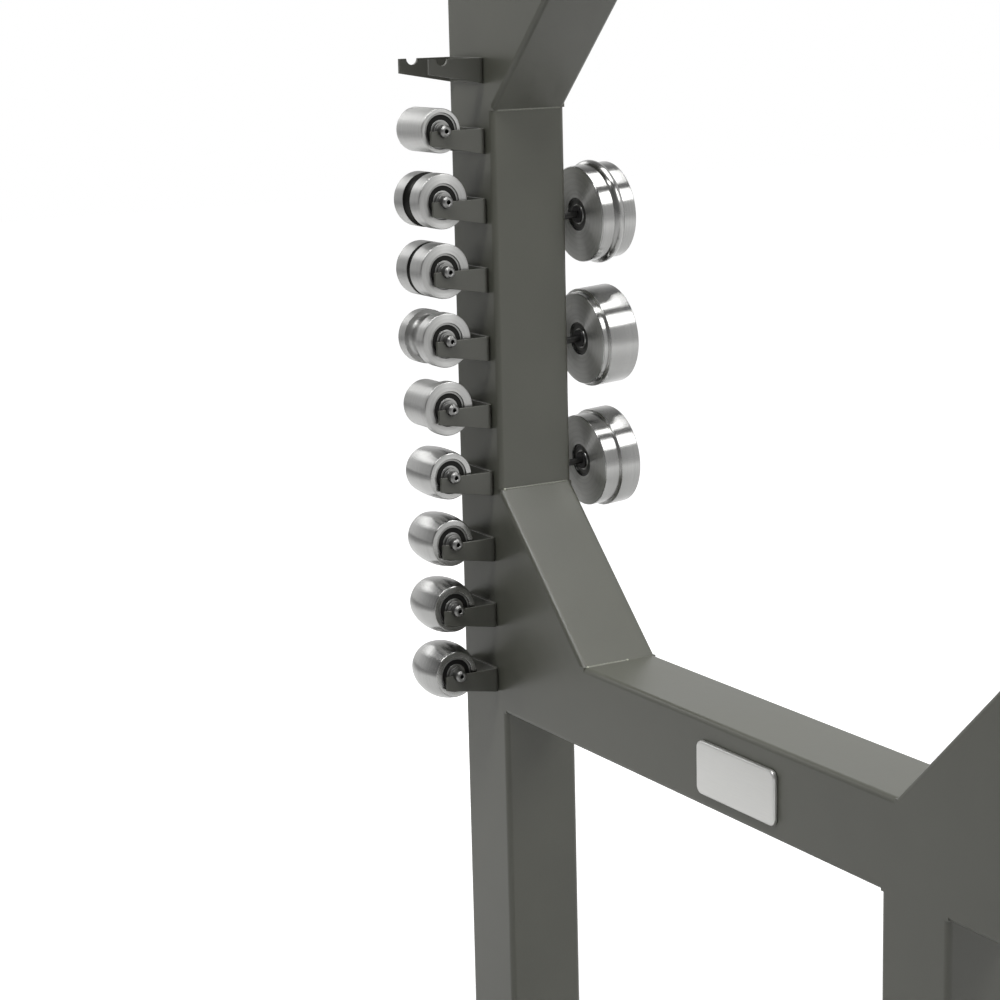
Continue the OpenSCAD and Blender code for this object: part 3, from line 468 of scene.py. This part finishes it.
def sweep(name, path, section, material, body, ripple, ripple_pitch):
    """A weld bead along a path: section gives its half width and height in millimetres, ripple its waves."""
    builder = bmesh.new()
    rings = []
    travelled = 0.0
    out = section["out"].normalized()
    for i, point in enumerate(path):
        ahead = path[min(i + 1, len(path) - 1)] - path[max(i - 1, 0)]
        side = ahead.normalized().cross(out).normalized()
        if i:
            travelled += (point - path[i - 1]).length / MM
        swell = 1.0 - ripple * (0.5 + 0.5 * math.cos(TURN * travelled / ripple_pitch))
        if i in (0, len(path) - 1):
            swell *= BEAD_END
        ring = []
        for j in range(BEAD_SIDES):
            angle = TURN * j / BEAD_SIDES
            across = side * math.cos(angle) * section["half_width"]
            offset = across + out * math.sin(angle) * section["height"]
            ring.append(builder.verts.new(point + offset * MM * swell))
        rings.append(ring)
    for a, b in zip(rings, rings[1:]):
        for j in range(BEAD_SIDES):
            k = (j + 1) % BEAD_SIDES
            builder.faces.new([a[j], a[k], b[k], b[j]])
    builder.faces.new(rings[0][::-1])
    builder.faces.new(rings[-1])
    bmesh.ops.recalc_face_normals(builder, faces=builder.faces)
    mesh = built_mesh(name, builder)
    finish_mesh(name, mesh, [material], body, smooth_angle=60.0)


def line_path(start, end, pitch):
    """Points from start to end, about pitch millimetres apart."""
    start, end = Vector(start), Vector(end)
    count = max(2, round((end - start).length / MM / pitch))
    return [start.lerp(end, i / count) for i in range(count + 1)]


def joint_place(name):
    """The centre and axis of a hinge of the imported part."""
    joint = next(j for j in frame["joints"] if j["name"] == name)
    return Vector(joint["pos_m"]), Vector(joint["axis"]).normalized()


# Rollers of the rack and the lower anvil in use, in millimetres along their own axis
ANVIL_COUNT = 9
ROLLER_HALF = (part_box("anvil_1")[1].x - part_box("anvil_1")[0].x) / MM / 2
FLAT_R = 26.0
BEAD_R = 32.5
CROWN_END_R = 28.0
CROWN_FIRST = 2.3
CROWN_STEP = 1.4
FIRST_CROWNED = 6
WIDE_GROOVE = 18.0
NARROW_GROOVE = 8.0
GROOVE_STEPS = 14
SPOOL_FLANGE = 17.0
SPOOL_FLOOR_R = 24.0
SPOOL_CORNER = 6.0
STEP_FLANGE = 12.0
STEP_BARREL_R = 28.5
STEP_FOOT = 1.0
RIM_FILLET = 1.6
LIP_FILLET = 0.5
BORE_FILLET = 0.5
BORE_R = 13.0
BORE_MARGIN = 1.0

# Anvil bearings and axles, in millimetres; ring widths are the inner and the outer ring's
BEARING_R = 21.0
BEARING_W = 12.0
BEARING_RECESS = 1.5
BEARING_RINGS = (2.7, 2.5)
POCKET_ROOM = 0.05
POCKET_DEPTH_ROOM = 0.2
AXLE_R = 10.0
AXLE_END_R = 7.0
AXLE_HALF = 45.0
AXLE_SHOULDER = ROLLER_HALF + BEARING_RECESS
AXLE_CHAMFER = 2.2
AXLE_FILLET = 0.3
SHOULDER_FILLET = 0.6
CENTRE_HOLE_R = 2.5
CENTRE_HOLE_DEPTH = 6.0
CENTRE_HOLE_TIP = 1.2
CENTRE_HOLE_MOUTH = 0.5
CENTRE_HOLE_MARGIN = 0.02

# The section of a sealed bearing, in millimetres
RING_FILLET = 0.4
OUTER_FILLET = 0.6
SEAL_DIP = 0.5
SEAL_LIP = 0.9
SEAL_LAP = 0.05
SEAL_RISE = 0.3
SEAL_FALL = 0.2
SEAL_FILLET = 0.3
SEAL_END_FILLET = 0.2
BEARING_STEPS = 3


def arc_points(centre_r, centre_z, radius, first, last, steps):
    """Points on a circle in the half section, by angle in degrees from +r towards +z."""
    points = []
    for i in range(steps + 1):
        angle = math.radians(first + (last - first) * i / steps)
        points.append((centre_r + radius * math.cos(angle), centre_z + radius * math.sin(angle)))
    return points


def bulge_points(base_r, rise, half, steps):
    """A round bulge that rises from a radius at both ends, from front to back."""
    radius = (half * half + rise * rise) / (2 * rise)
    spread = math.degrees(math.asin(half / radius))
    return arc_points(base_r + rise - radius, 0.0, radius, spread, -spread, steps)


def crown_points(end_r, crown, half, steps=28):
    """A crowned barrel from the front rim to the back rim."""
    inner = bulge_points(end_r, crown, half, steps)[1:-1]
    return [(end_r, half, RIM_FILLET)] + inner + [(end_r, -half, RIM_FILLET)]


def groove_points(r, width, half):
    """A plain barrel with a half-round groove round its middle."""
    arc = arc_points(r, 0.0, width / 2, 90.0, 270.0, GROOVE_STEPS)[1:-1]
    front = [(r, half, RIM_FILLET), (r, width / 2, LIP_FILLET)]
    back = [(r, -width / 2, LIP_FILLET), (r, -half, RIM_FILLET)]
    return front + arc + back


def roller_points(k, half):
    """The outside of rack roller k from its front rim to its back rim."""
    if k == 1:
        return [(FLAT_R, half, RIM_FILLET), (FLAT_R, -half, RIM_FILLET)]
    if k == 2:
        return groove_points(BEAD_R, WIDE_GROOVE, half)
    if k == 3:
        return groove_points(BEAD_R, NARROW_GROOVE, half)
    if k == 4:
        inner = half - SPOOL_FLANGE
        return [
            (BEAD_R, half, RIM_FILLET), (BEAD_R, inner, LIP_FILLET), (SPOOL_FLOOR_R, inner, SPOOL_CORNER),
            (SPOOL_FLOOR_R, -inner, SPOOL_CORNER), (BEAD_R, -inner, LIP_FILLET), (BEAD_R, -half, RIM_FILLET),
        ]
    if k == 5:
        step = half - STEP_FLANGE
        return [
            (BEAD_R, half, RIM_FILLET), (BEAD_R, step, RIM_FILLET), (STEP_BARREL_R, step, STEP_FOOT),
            (STEP_BARREL_R, -half, RIM_FILLET),
        ]
    return crown_points(CROWN_END_R, CROWN_FIRST + CROWN_STEP * (k - FIRST_CROWNED), half)


def other_side(points):
    """The same points on the other side of the middle plane, in the order that goes on from them."""
    return [(point[0], -point[1], *point[2:]) for point in reversed(points)]


def bored(outside, half, pocket_r, pocket_depth, bore_r):
    """Closes a wheel's outside points round its bore and its two bearing pockets."""
    floor = half - pocket_depth
    inside = [
        (pocket_r, -half, BORE_FILLET), (pocket_r, -floor), (bore_r, -floor, BORE_FILLET),
        (bore_r, floor, BORE_FILLET), (pocket_r, floor), (pocket_r, half, BORE_FILLET),
    ]
    return rounded(outside + inside)


def bearing_outlines(bore_r, outer_r, width, middle, ring_widths, first_index):
    """The outlines of a sealed bearing: two rings, the seal between them, and their material places."""
    top, bottom = middle + width / 2, middle - width / 2
    seal_in, seal_out = bore_r + ring_widths[0], outer_r - ring_widths[1]
    inner = rounded([
        (bore_r, bottom, RING_FILLET), (seal_in, bottom, RING_FILLET),
        (seal_in, top, RING_FILLET), (bore_r, top, RING_FILLET),
    ], BEARING_STEPS)
    outer = rounded([
        (seal_out, bottom, RING_FILLET), (outer_r, bottom, OUTER_FILLET),
        (outer_r, top, OUTER_FILLET), (seal_out, top, RING_FILLET),
    ], BEARING_STEPS)
    high, low = top - SEAL_DIP, bottom + SEAL_DIP
    lip_in, lip_out = seal_in + SEAL_LIP, seal_out - SEAL_LIP
    lap_in, lap_out = seal_in - SEAL_LAP, seal_out + SEAL_LAP
    seal = rounded([
        (lap_in, low, SEAL_END_FILLET), (lip_in, low - SEAL_RISE, SEAL_FILLET),
        (lip_out, low + SEAL_FALL, SEAL_FILLET), (lap_out, low),
        (lap_out, high), (lip_out, high - SEAL_FALL, SEAL_FILLET),
        (lip_in, high + SEAL_RISE, SEAL_FILLET), (lap_in, high, SEAL_END_FILLET),
    ], BEARING_STEPS)
    return [(inner, first_index), (outer, first_index + 2), (seal, first_index + 1)]


def bearing_pair(bore_r, outer_r, width, half, ring_widths, first_index):
    """Two sealed bearings, each set in from the face of a wheel of some half width."""
    middle = half - BEARING_RECESS - width / 2
    outlines = []
    for side in (-1, 1):
        outlines += bearing_outlines(bore_r, outer_r, width, side * middle, ring_widths, first_index)
    return outlines


def axle_outline():
    """An anvil axle with thinner ends, broken edges and centre holes."""
    hole_floor = AXLE_HALF - CENTRE_HOLE_DEPTH
    half = [
        (0.0, hole_floor - CENTRE_HOLE_TIP), (CENTRE_HOLE_R, hole_floor),
        (CENTRE_HOLE_R, AXLE_HALF - CENTRE_HOLE_MOUTH), (CENTRE_HOLE_R + CENTRE_HOLE_MOUTH, AXLE_HALF),
        (AXLE_END_R - AXLE_CHAMFER, AXLE_HALF, AXLE_FILLET),
        (AXLE_END_R, AXLE_HALF - AXLE_CHAMFER, AXLE_FILLET),
        (AXLE_END_R, AXLE_SHOULDER, AXLE_FILLET), (AXLE_R, AXLE_SHOULDER, SHOULDER_FILLET),
    ]
    return rounded(half + other_side(half))


def anvil_core(name, place, body, nodes):
    """An anvil axle with its two bearings."""
    outlines = [(axle_outline(), 0)]
    outlines += bearing_pair(AXLE_R, BEARING_R, BEARING_W, ROLLER_HALF, BEARING_RINGS, 1)
    materials = [AXLE_STEEL, RING_STEEL, SEAL_RUBBER, RACE_STEEL, HOLE_PAINTED_SHADE]
    core = lathe(name, outlines, materials, place, body, nodes)
    # Faces inside the centre hole take the dark steel, a painted shade
    for face in core.data.polygons:
        if math.hypot(face.center.x, face.center.y) / MM < CENTRE_HOLE_R + CENTRE_HOLE_MARGIN:
            face.material_index = materials.index(HOLE_PAINTED_SHADE)


def anvil_roller(name, outside, material, place, body, node):
    """A bored anvil roller."""
    depth = BEARING_RECESS + BEARING_W + POCKET_DEPTH_ROOM
    outline = bored(outside, ROLLER_HALF, BEARING_R + POCKET_ROOM, depth, BORE_R)
    return lathe(name, [(outline, 0)], [material, GROOVE_SHADE_STEEL], place, body, [node])


def paint_groove_shade(piece, width):
    """Gives the groove round a roller's middle a dark steel, a painted shade of the groove's hollow."""
    for face in piece.data.polygons:
        r = math.hypot(face.center.x, face.center.y) / MM
        if BORE_R + BORE_MARGIN < r < BEAD_R - LIP_FILLET and abs(face.center.z) / MM < width / 2:
            face.material_index = 1


ROLLER_FINISH = {1: MATTE_TURNED, 2: TURNED, 3: TURNED, 4: TURNED, 5: TURNED}
GROOVE_WIDTH = {2: WIDE_GROOVE, 3: NARROW_GROOVE}
for k in range(1, ANVIL_COUNT + 1):
    spot = joint_place(f"anvil_{k}_spin")
    finish = ROLLER_FINISH.get(k, POLISHED)
    roller = anvil_roller(
        f"anvil_{k}_roller", roller_points(k, ROLLER_HALF), finish, spot, f"anvil_{k}", f"anvil_{k}",
    )
    # The groove faces take the dark steel, a painted shade
    if k in GROOVE_WIDTH:
        paint_groove_shade(roller, GROOVE_WIDTH[k])
    anvil_core(f"anvil_{k}_core", spot, f"anvil_{k}_axle", [f"anvil_{k}_axle"])

work_spot = joint_place("work_anvil_spin")
work_crown = CROWN_FIRST / 2
work_points = crown_points(BEAD_R - work_crown, work_crown, ROLLER_HALF)
anvil_roller("work_anvil_roller", work_points, POLISHED, work_spot, "work_anvil", "work_anvil")
anvil_core("work_anvil_core", work_spot, "work_axle", ["work_anvil_axle", "work_anvil_bearings"])


# Spare discs on their pegs, in millimetres; the face towards the column is at -Z
DISC_COUNT = 3
DISC_R = 60.0
DISC_HALF = 24.0
DISC_BEAD_H = 4.5
DISC_BEAD_W = 14.0
DISC_BEAD_STEPS = 16
DISC_STEP = 4.0
DISC_LOW_W = {2: 8.0, 3: 21.0}
DISC_STEP_EDGE = 0.9
DISC_STEP_FOOT = 0.8
DISC_LOW_RIM = 1.2
DISC_BEARING_R = 20.0
DISC_BEARING_BORE_R = 8.5
DISC_BEARING_W = 12.0
DISC_BEARING_RINGS = (3.6, 1.8)
DISC_BORE_R = DISC_BEARING_BORE_R + 3.0
# Faces that look along the axis more than this take the lighter faced steel, a painted reflection, and the
# rest is band
FACE_TILT = 0.9


def disc_points(k):
    """The outside of spare disc k from its outer rim to the rim beside the column."""
    if k == 1:
        base = DISC_R - DISC_BEAD_H / 2
        bead = bulge_points(base, DISC_BEAD_H, DISC_BEAD_W / 2, DISC_BEAD_STEPS)
        return [(base, DISC_HALF, RIM_FILLET)] + bead + [(base, -DISC_HALF, RIM_FILLET)]
    step = DISC_LOW_W[k] - DISC_HALF
    low = DISC_R - DISC_STEP
    return [
        (DISC_R, DISC_HALF, RIM_FILLET), (DISC_R, step, DISC_STEP_EDGE), (low, step, DISC_STEP_FOOT),
        (low, -DISC_HALF, DISC_LOW_RIM),
    ]


for k in range(1, DISC_COUNT + 1):
    spot = joint_place(f"disc_{k}_spin")
    depth = BEARING_RECESS + DISC_BEARING_W + POCKET_DEPTH_ROOM
    outline = bored(disc_points(k), DISC_HALF, DISC_BEARING_R + POCKET_ROOM, depth, DISC_BORE_R)
    wheel = lathe(
        f"disc_{k}_wheel", [(outline, 0)], [BAND, FACED_PAINTED_REFLECTION], spot, f"disc_{k}", [f"disc_{k}"],
    )
    for face in wheel.data.polygons:
        if abs(face.normal.z) > FACE_TILT:
            face.material_index = 1
    rings = bearing_pair(
        DISC_BEARING_BORE_R, DISC_BEARING_R, DISC_BEARING_W, DISC_HALF, DISC_BEARING_RINGS, 0,
    )
    # The shields and outer rings take the darkened steel, a painted shade of the recess
    lathe(
        f"disc_{k}_bearing_set", rings, [FACED_PAINTED_REFLECTION, BEARING_PAINTED_SHADE, BEARING_PAINTED_SHADE], spot, f"disc_{k}_hub",
        [f"disc_{k}_bearings"],
    )


# Upper wheel, in millimetres
WHEEL_R = 100.0
WHEEL_HALF = 25.0
WHEEL_RIM = 18.0
WHEEL_WEB = 10.0
WHEEL_HUB_R = 33.0
WHEEL_FILLET = 9.0
WHEEL_EDGE = 1.0
WHEEL_STEPS = 192
WHEEL_BEARING_R = 23.5
WHEEL_BEARING_W = 14.0
WHEEL_BEARING_RINGS = (3.6, 2.4)
WHEEL_POCKET_ROOM = 0.02


def wheel_outline():
    """Half section of the upper wheel: rim, web on both sides, hub and bearing pockets."""
    rim_in = WHEEL_R - WHEEL_RIM
    side = [
        (WHEEL_HUB_R, WHEEL_HALF, WHEEL_EDGE), (WHEEL_HUB_R, WHEEL_WEB, WHEEL_FILLET),
        (rim_in, WHEEL_WEB, WHEEL_FILLET), (rim_in, WHEEL_HALF, WHEEL_EDGE),
    ]
    outside = side + [(WHEEL_R, WHEEL_HALF, RIM_FILLET), (WHEEL_R, -WHEEL_HALF, RIM_FILLET)]
    outside += other_side(side)
    depth = BEARING_RECESS + WHEEL_BEARING_W + POCKET_DEPTH_ROOM
    return bored(outside, WHEEL_HALF, WHEEL_BEARING_R + WHEEL_POCKET_ROOM, depth, BORE_R)


wheel_spot = joint_place("upper_wheel_spin")
lathe(
    "upper_wheel_rim", [(wheel_outline(), 0)], [POLISHED], wheel_spot, "upper_wheel",
    ["upper_wheel"], WHEEL_STEPS,
)
wheel_rings = bearing_pair(AXLE_R, WHEEL_BEARING_R, WHEEL_BEARING_W, WHEEL_HALF, WHEEL_BEARING_RINGS, 0)
lathe(
    "upper_wheel_bearing_set", wheel_rings, [RING_STEEL, SEAL_RUBBER, RACE_STEEL], wheel_spot, "upper_wheel",
    ["upper_wheel_bearings"],
)


# Frame members keep their own shape and take the paint
FRAME_NODES = [
    "rear_column", "lower_arm", "upper_arm", "lower_rear_gusset", "upper_rear_gusset", "lower_front_gusset",
    "upper_front_gusset", "ram_post", "head_post", "front_leg", "base_rail", "cross_feet",
]


def cover(node, material):
    """Gives a node's own object a finish."""
    for slot in frame["nodes"][node].material_slots:
        slot.material = material


for node in FRAME_NODES:
    cover(node, FRAME_PAINT)

# Small pieces get broken edges: the edge's width in millimetres, the finish and the slot
SOFT_NODES = {
    "rack_brackets": (0.5, BRACKET_PAINT, "bracket_paint"),
    "end_caps": (0.8, FRAME_PAINT, "frame_paint"),
    "foot_plates": (1.0, FRAME_PAINT, "frame_paint"),
    "post_plate": (1.0, FRAME_PAINT, "frame_paint"),
    "upper_yoke": (1.5, BRACKET_PAINT, "bracket_paint"),
    "lower_yoke": (1.5, BRACKET_PAINT, "bracket_paint"),
    "yoke_bolts": (0.6, BLACK_OXIDE, "black_oxide"),
    "axle_nuts": (0.8, BLACK_OXIDE, "black_oxide"),
    "screw_collar": (0.8, BLACK_OXIDE, "black_oxide"),
    "disc_pegs": (0.5, BLACK_OXIDE, "black_oxide"),
    "peg_sleeves": (0.3, SLEEVE, "black_sleeve"),
    "wheel_axle": (0.8, GROUND, "ground_steel"),
    "thrust_bearing": (0.5, GROUND, "ground_steel"),
    "ram": (0.8, GROUND, "ground_steel"),
    "lift_screw": (0.8, GROUND, "ground_steel"),
    "kick_wheel_nut": (0.8, GROUND, "ground_steel"),
    "ram_guides": (0.6, BRONZE_METAL, "bronze"),
    "lift_nut": (0.6, BRONZE_METAL, "bronze"),
    "kick_wheel": (1.0, KICK_PAINT, "kick_paint"),
}
for node, (bevel, material, slot_name) in SOFT_NODES.items():
    soft_copy(node, bevel, material)


# Weld lines at the folds of the throat: their place, the way they face, and the share of the tube they cross
HALF_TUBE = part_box("rear_column")[1].y
COLUMN_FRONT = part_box("rear_column")[1].x
ARM_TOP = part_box("lower_arm")[1].z
THROAT_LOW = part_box("lower_rear_gusset")[1].z
THROAT_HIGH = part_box("upper_rear_gusset")[0].z
REAR_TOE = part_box("lower_rear_gusset")[1].x
EDGE_R = 6.0 * MM
FOLD_REACH = HALF_TUBE - EDGE_R
FOLDS = {
    "fold_weld_low": ((COLUMN_FRONT, THROAT_LOW), Vector((1.0, 0.0, 0.3)), 1.0),
    "fold_weld_high": ((COLUMN_FRONT, THROAT_HIGH), Vector((1.0, 0.0, -0.3)), 1.0),
    "fold_weld_toe": ((REAR_TOE, ARM_TOP), Vector((0.4, 0.0, 1.0)), 0.62),
}
WELD_PITCH = 1.5
WELD_HALF_WIDTH = 1.5
WELD_HEIGHT = 1.0
WELD_RIPPLE = 0.25
WELD_WAVE = 5.0

# Stops at ends of the weld lines, in a much lighter paint that is a painted glint: the ends that have one,
# and their half section in millimetres
WELD_STOPS = {"fold_weld_low": (0,), "fold_weld_toe": (0, -1)}
STOP_OUTLINE = [(0.0, -0.8), (1.5, -0.8), (1.7, 0.3, 0.5), (0.9, 1.1, 0.4), (0.0, 1.2)]
STOP_STEPS = 24

for name, ((x, z), out, share) in FOLDS.items():
    far = -FOLD_REACH + 2 * FOLD_REACH * share
    path = line_path((x, -FOLD_REACH, z), (x, far, z), WELD_PITCH)
    section = {"out": out, "half_width": WELD_HALF_WIDTH, "height": WELD_HEIGHT}
    # The beads take the lighter paint, a painted highlight
    sweep(name, path, section, WELD_PAINTED_HIGHLIGHT, "frame", WELD_RIPPLE, WELD_WAVE)
    for end in WELD_STOPS.get(name, ()):
        lathe(
            f"{name}_stop_{end % 2 + 1}", [(rounded(STOP_OUTLINE), 0)], [WELD_STOP_PAINTED_GLINT],
            (path[end], out.normalized()), "frame", steps=STOP_STEPS,
        )


# Bare name plate on the near side of the lower arm: its place in metres, and its section in millimetres
PLATE_LEFT = -0.110
PLATE_RIGHT = 0.030
PLATE_LOW = 0.656
PLATE_HIGH = 0.7165
PLATE_CORNER = 9.0
PLATE_LEAST_CORNER = 1.5
PLATE_CORNER_STEPS = 8
PLATE_THICK = 5.5
# The dark band at the plate's foot is a painted shadow: its height and inset follow
PLATE_SHADE_BAND = 0.9
PLATE_SHADE_INSET = 0.5
PLATE_ROUND = 2.6
PLATE_ROUND_STEPS = 6


def plate_ring(builder, inset, height):
    """One closed loop of the plate's rounded outline, set in by inset and stood off by height."""
    ring = []
    corner = max(PLATE_CORNER * MM - inset, PLATE_LEAST_CORNER * MM)
    corners = [
        (PLATE_RIGHT - inset - corner, PLATE_HIGH - inset - corner, 0.0),
        (PLATE_LEFT + inset + corner, PLATE_HIGH - inset - corner, 90.0),
        (PLATE_LEFT + inset + corner, PLATE_LOW + inset + corner, 180.0),
        (PLATE_RIGHT - inset - corner, PLATE_LOW + inset + corner, 270.0),
    ]
    for x, z, first in corners:
        for i in range(PLATE_CORNER_STEPS + 1):
            angle = math.radians(first + 90.0 * i / PLATE_CORNER_STEPS)
            spot = (x + corner * math.cos(angle), -HALF_TUBE - height, z + corner * math.sin(angle))
            ring.append(builder.verts.new(spot))
    return ring


def name_plate():
    """A bare silver plate with a rounded edge, on a thin dark band that is a painted shadow of the gap under
    its edge.
    """
    builder = bmesh.new()
    steps = [(PLATE_SHADE_INSET, 0.0), (PLATE_SHADE_INSET, PLATE_SHADE_BAND), (0.0, PLATE_SHADE_BAND)]
    for i in range(PLATE_ROUND_STEPS + 1):
        angle = math.pi / 2 * i / PLATE_ROUND_STEPS
        inset = PLATE_ROUND * (1.0 - math.cos(angle))
        steps.append((inset, PLATE_THICK - PLATE_ROUND * (1.0 - math.sin(angle))))
    rings = [plate_ring(builder, inset * MM, height * MM) for inset, height in steps]
    for level, (a, b) in enumerate(zip(rings, rings[1:])):
        for i in range(len(a)):
            j = (i + 1) % len(a)
            side = builder.faces.new([a[i], a[j], b[j], b[i]])
            # The lowest band takes dark oxide, a painted shadow of the gap under the plate
            side.material_index = 1 if level == 0 else 0
    builder.faces.new(rings[-1])
    builder.faces.new(rings[0][::-1])
    bmesh.ops.recalc_face_normals(builder, faces=builder.faces)
    mesh = built_mesh("name_plate", builder)
    finish_mesh("name_plate", mesh, [SILVER, BLACK_OXIDE], "frame", smooth_angle=50.0)


name_plate()


# Floor: its size, how it fades into the background, and how bright a mirror shows it, far off and in front
FLOOR_HALF = 14.0
FLOOR_GREY = (0.80, 0.80, 0.80, 1.0)
FLOOR_ROUGHNESS = 0.9
FLOOR_NEAR = 0.9
FLOOR_FAR = 2.6
FLOOR_GLOW_NEAR = 0.35
FLOOR_FRONT_SPAN = (-1.5, 0.3)
FRONT_FLOOR = 0.28
MIRRORED_FLOOR = 0.75

# World: the light on the object, and what a mirror shows from the horizon up and round to the camera's side
FILL_LIGHT = 0.06
BACKGROUND_WHITE = 0.92
CEILING_SPAN = (0.30, 0.75)
CEILING_DIM = 0.25
CAMERA_SIDE = (0.50, -0.87, 0.0)
STUDIO_SPAN = (-0.20, 0.65)
STUDIO_DIM = 0.25


def seen_rays(tree, mirrored=1.0):
    """1 for rays from the camera or through glass, which see a white background; mirrored for mirror rays."""
    path = add_node(tree, "ShaderNodeLightPath")
    glossy = arithmetic(tree, "MULTIPLY", path.outputs["Is Glossy Ray"], mirrored)
    direct = arithmetic(tree, "MAXIMUM", path.outputs["Is Camera Ray"], path.outputs["Is Transmission Ray"])
    return arithmetic(tree, "MAXIMUM", direct, glossy)


def white_floor():
    """A pale floor that keeps the object's shadow close by and fades into the white further out."""
    mesh = bpy.data.meshes.new("floor")
    half = FLOOR_HALF
    corners = [(-half, -half, 0), (half, -half, 0), (half, half, 0), (-half, half, 0)]
    mesh.from_pydata(corners, [], [(0, 1, 2, 3)])
    floor = bpy.data.objects.new("floor", mesh)
    bpy.context.scene.collection.objects.link(floor)
    material, tree, shader = blank_material("floor_white")
    shader.inputs["Base Color"].default_value = FLOOR_GREY
    shader.inputs["Roughness"].default_value = FLOOR_ROUGHNESS
    shader.inputs["Specular IOR Level"].default_value = 0.0
    place = object_place(tree)
    fade = remap(tree, length_of(tree, place), FLOOR_NEAR, FLOOR_FAR, FLOOR_GLOW_NEAR, 1.0)
    depth = add_node(tree, "ShaderNodeSeparateXYZ", {"Vector": place}).outputs["Y"]
    mirrored = remap(tree, depth, *FLOOR_FRONT_SPAN, FRONT_FLOOR, MIRRORED_FLOOR)
    strength = arithmetic(tree, "MULTIPLY", fade, seen_rays(tree, mirrored))
    glow = add_node(tree, "ShaderNodeEmission", {"Color": WHITE, "Strength": strength})
    both = add_node(tree, "ShaderNodeAddShader", {0: shader.outputs[0], 1: glow.outputs[0]})
    tree.links.new(both.outputs[0], tree.nodes["Material Output"].inputs["Surface"])
    floor.data.materials.append(material)


def studio_world():
    """A white background for what is seen, dimmer above and by the camera, and a soft fill light."""
    world = bpy.data.worlds.new("studio")
    world.use_nodes = True
    bpy.context.scene.world = world
    tree = world.node_tree
    tree.nodes.clear()
    path = add_node(tree, "ShaderNodeLightPath")
    direction = add_node(tree, "ShaderNodeTexCoord").outputs["Generated"]
    height = add_node(tree, "ShaderNodeSeparateXYZ", {"Vector": direction}).outputs["Z"]
    above = remap(tree, height, *CEILING_SPAN, BACKGROUND_WHITE, CEILING_DIM)
    towards = add_node(tree, "ShaderNodeVectorMath", {0: direction, 1: CAMERA_SIDE}, operation="DOT_PRODUCT")
    behind = remap(tree, towards.outputs["Value"], *STUDIO_SPAN, 1.0, STUDIO_DIM)
    around = arithmetic(tree, "MULTIPLY", above, behind)
    seen = arithmetic(tree, "MAXIMUM", around, path.outputs["Is Camera Ray"])
    fill = add_node(tree, "ShaderNodeBackground", {"Color": WHITE, "Strength": FILL_LIGHT})
    white = add_node(tree, "ShaderNodeBackground", {"Color": WHITE, "Strength": seen})
    shares = {0: seen_rays(tree), 1: fill.outputs[0], 2: white.outputs[0]}
    mixed = add_node(tree, "ShaderNodeMixShader", shares)
    out = add_node(tree, "ShaderNodeOutputWorld")
    tree.links.new(mixed.outputs[0], out.inputs["Surface"])


# The point that all the lights face
MIDDLE = (-0.3, 0.0, 1.1)


def soft_light(name, place, size, power, mirrored=True, roll=0.0):
    """A studio light that faces the machine, rolled by some degrees; a fill light isn't mirrored."""
    lamp = bpy.data.lights.new(name, "AREA")
    lamp.shape = "RECTANGLE"
    lamp.size, lamp.size_y = size
    lamp.energy = power
    light = bpy.data.objects.new(name, lamp)
    bpy.context.scene.collection.objects.link(light)
    light.location = place
    light.visible_glossy = mirrored
    facing = (Vector(MIDDLE) - Vector(place)).to_track_quat("-Z", "Y")
    light.rotation_euler = (facing @ Quaternion((0.0, 0.0, 1.0), math.radians(roll))).to_euler()


def photo_camera():
    """The camera at the photograph's place, with its roll."""
    data = bpy.data.cameras.new("photo_camera")
    data.sensor_fit = "HORIZONTAL"
    data.sensor_width = CAMERA_SENSOR
    data.lens = CAMERA_LENS
    data.clip_end = CAMERA_REACH
    camera = bpy.data.objects.new("photo_camera", data)
    bpy.context.scene.collection.objects.link(camera)
    back = Vector((
        math.cos(CAMERA_ELEVATION) * math.cos(CAMERA_AZIMUTH),
        -math.cos(CAMERA_ELEVATION) * math.sin(CAMERA_AZIMUTH),
        math.sin(CAMERA_ELEVATION),
    ))
    level = (-back).cross(Vector((0.0, 0.0, 1.0))).normalized()
    top = level.cross(-back)
    right = level * math.cos(CAMERA_ROLL) + top * math.sin(CAMERA_ROLL)
    up = top * math.cos(CAMERA_ROLL) - level * math.sin(CAMERA_ROLL)
    matrix = Matrix((right, up, back)).transposed().to_4x4()
    matrix.translation = CAMERA_PLACE
    camera.matrix_world = matrix
    bpy.context.scene.camera = camera


white_floor()
studio_world()
soft_light("overhead", place=(-0.3, 0.7, 4.2), size=(2.0, 2.0), power=84.0)
soft_light("key", place=(2.5, 2.1, 3.6), size=(1.8, 1.8), power=64.0)
soft_light("near_edge", place=(0.54, -1.5, 3.98), size=(2.4, 0.6), power=60.0, roll=42.0)
soft_light("streak", place=(-3.4, -0.7, 2.7), size=(2.0, 0.9), power=12.0)
soft_light("front_left", place=(-2.6, -2.6, 1.3), size=(1.2, 1.2), power=16.0, mirrored=False)
photo_camera()
bpy.context.scene.view_settings.view_transform = "Standard"
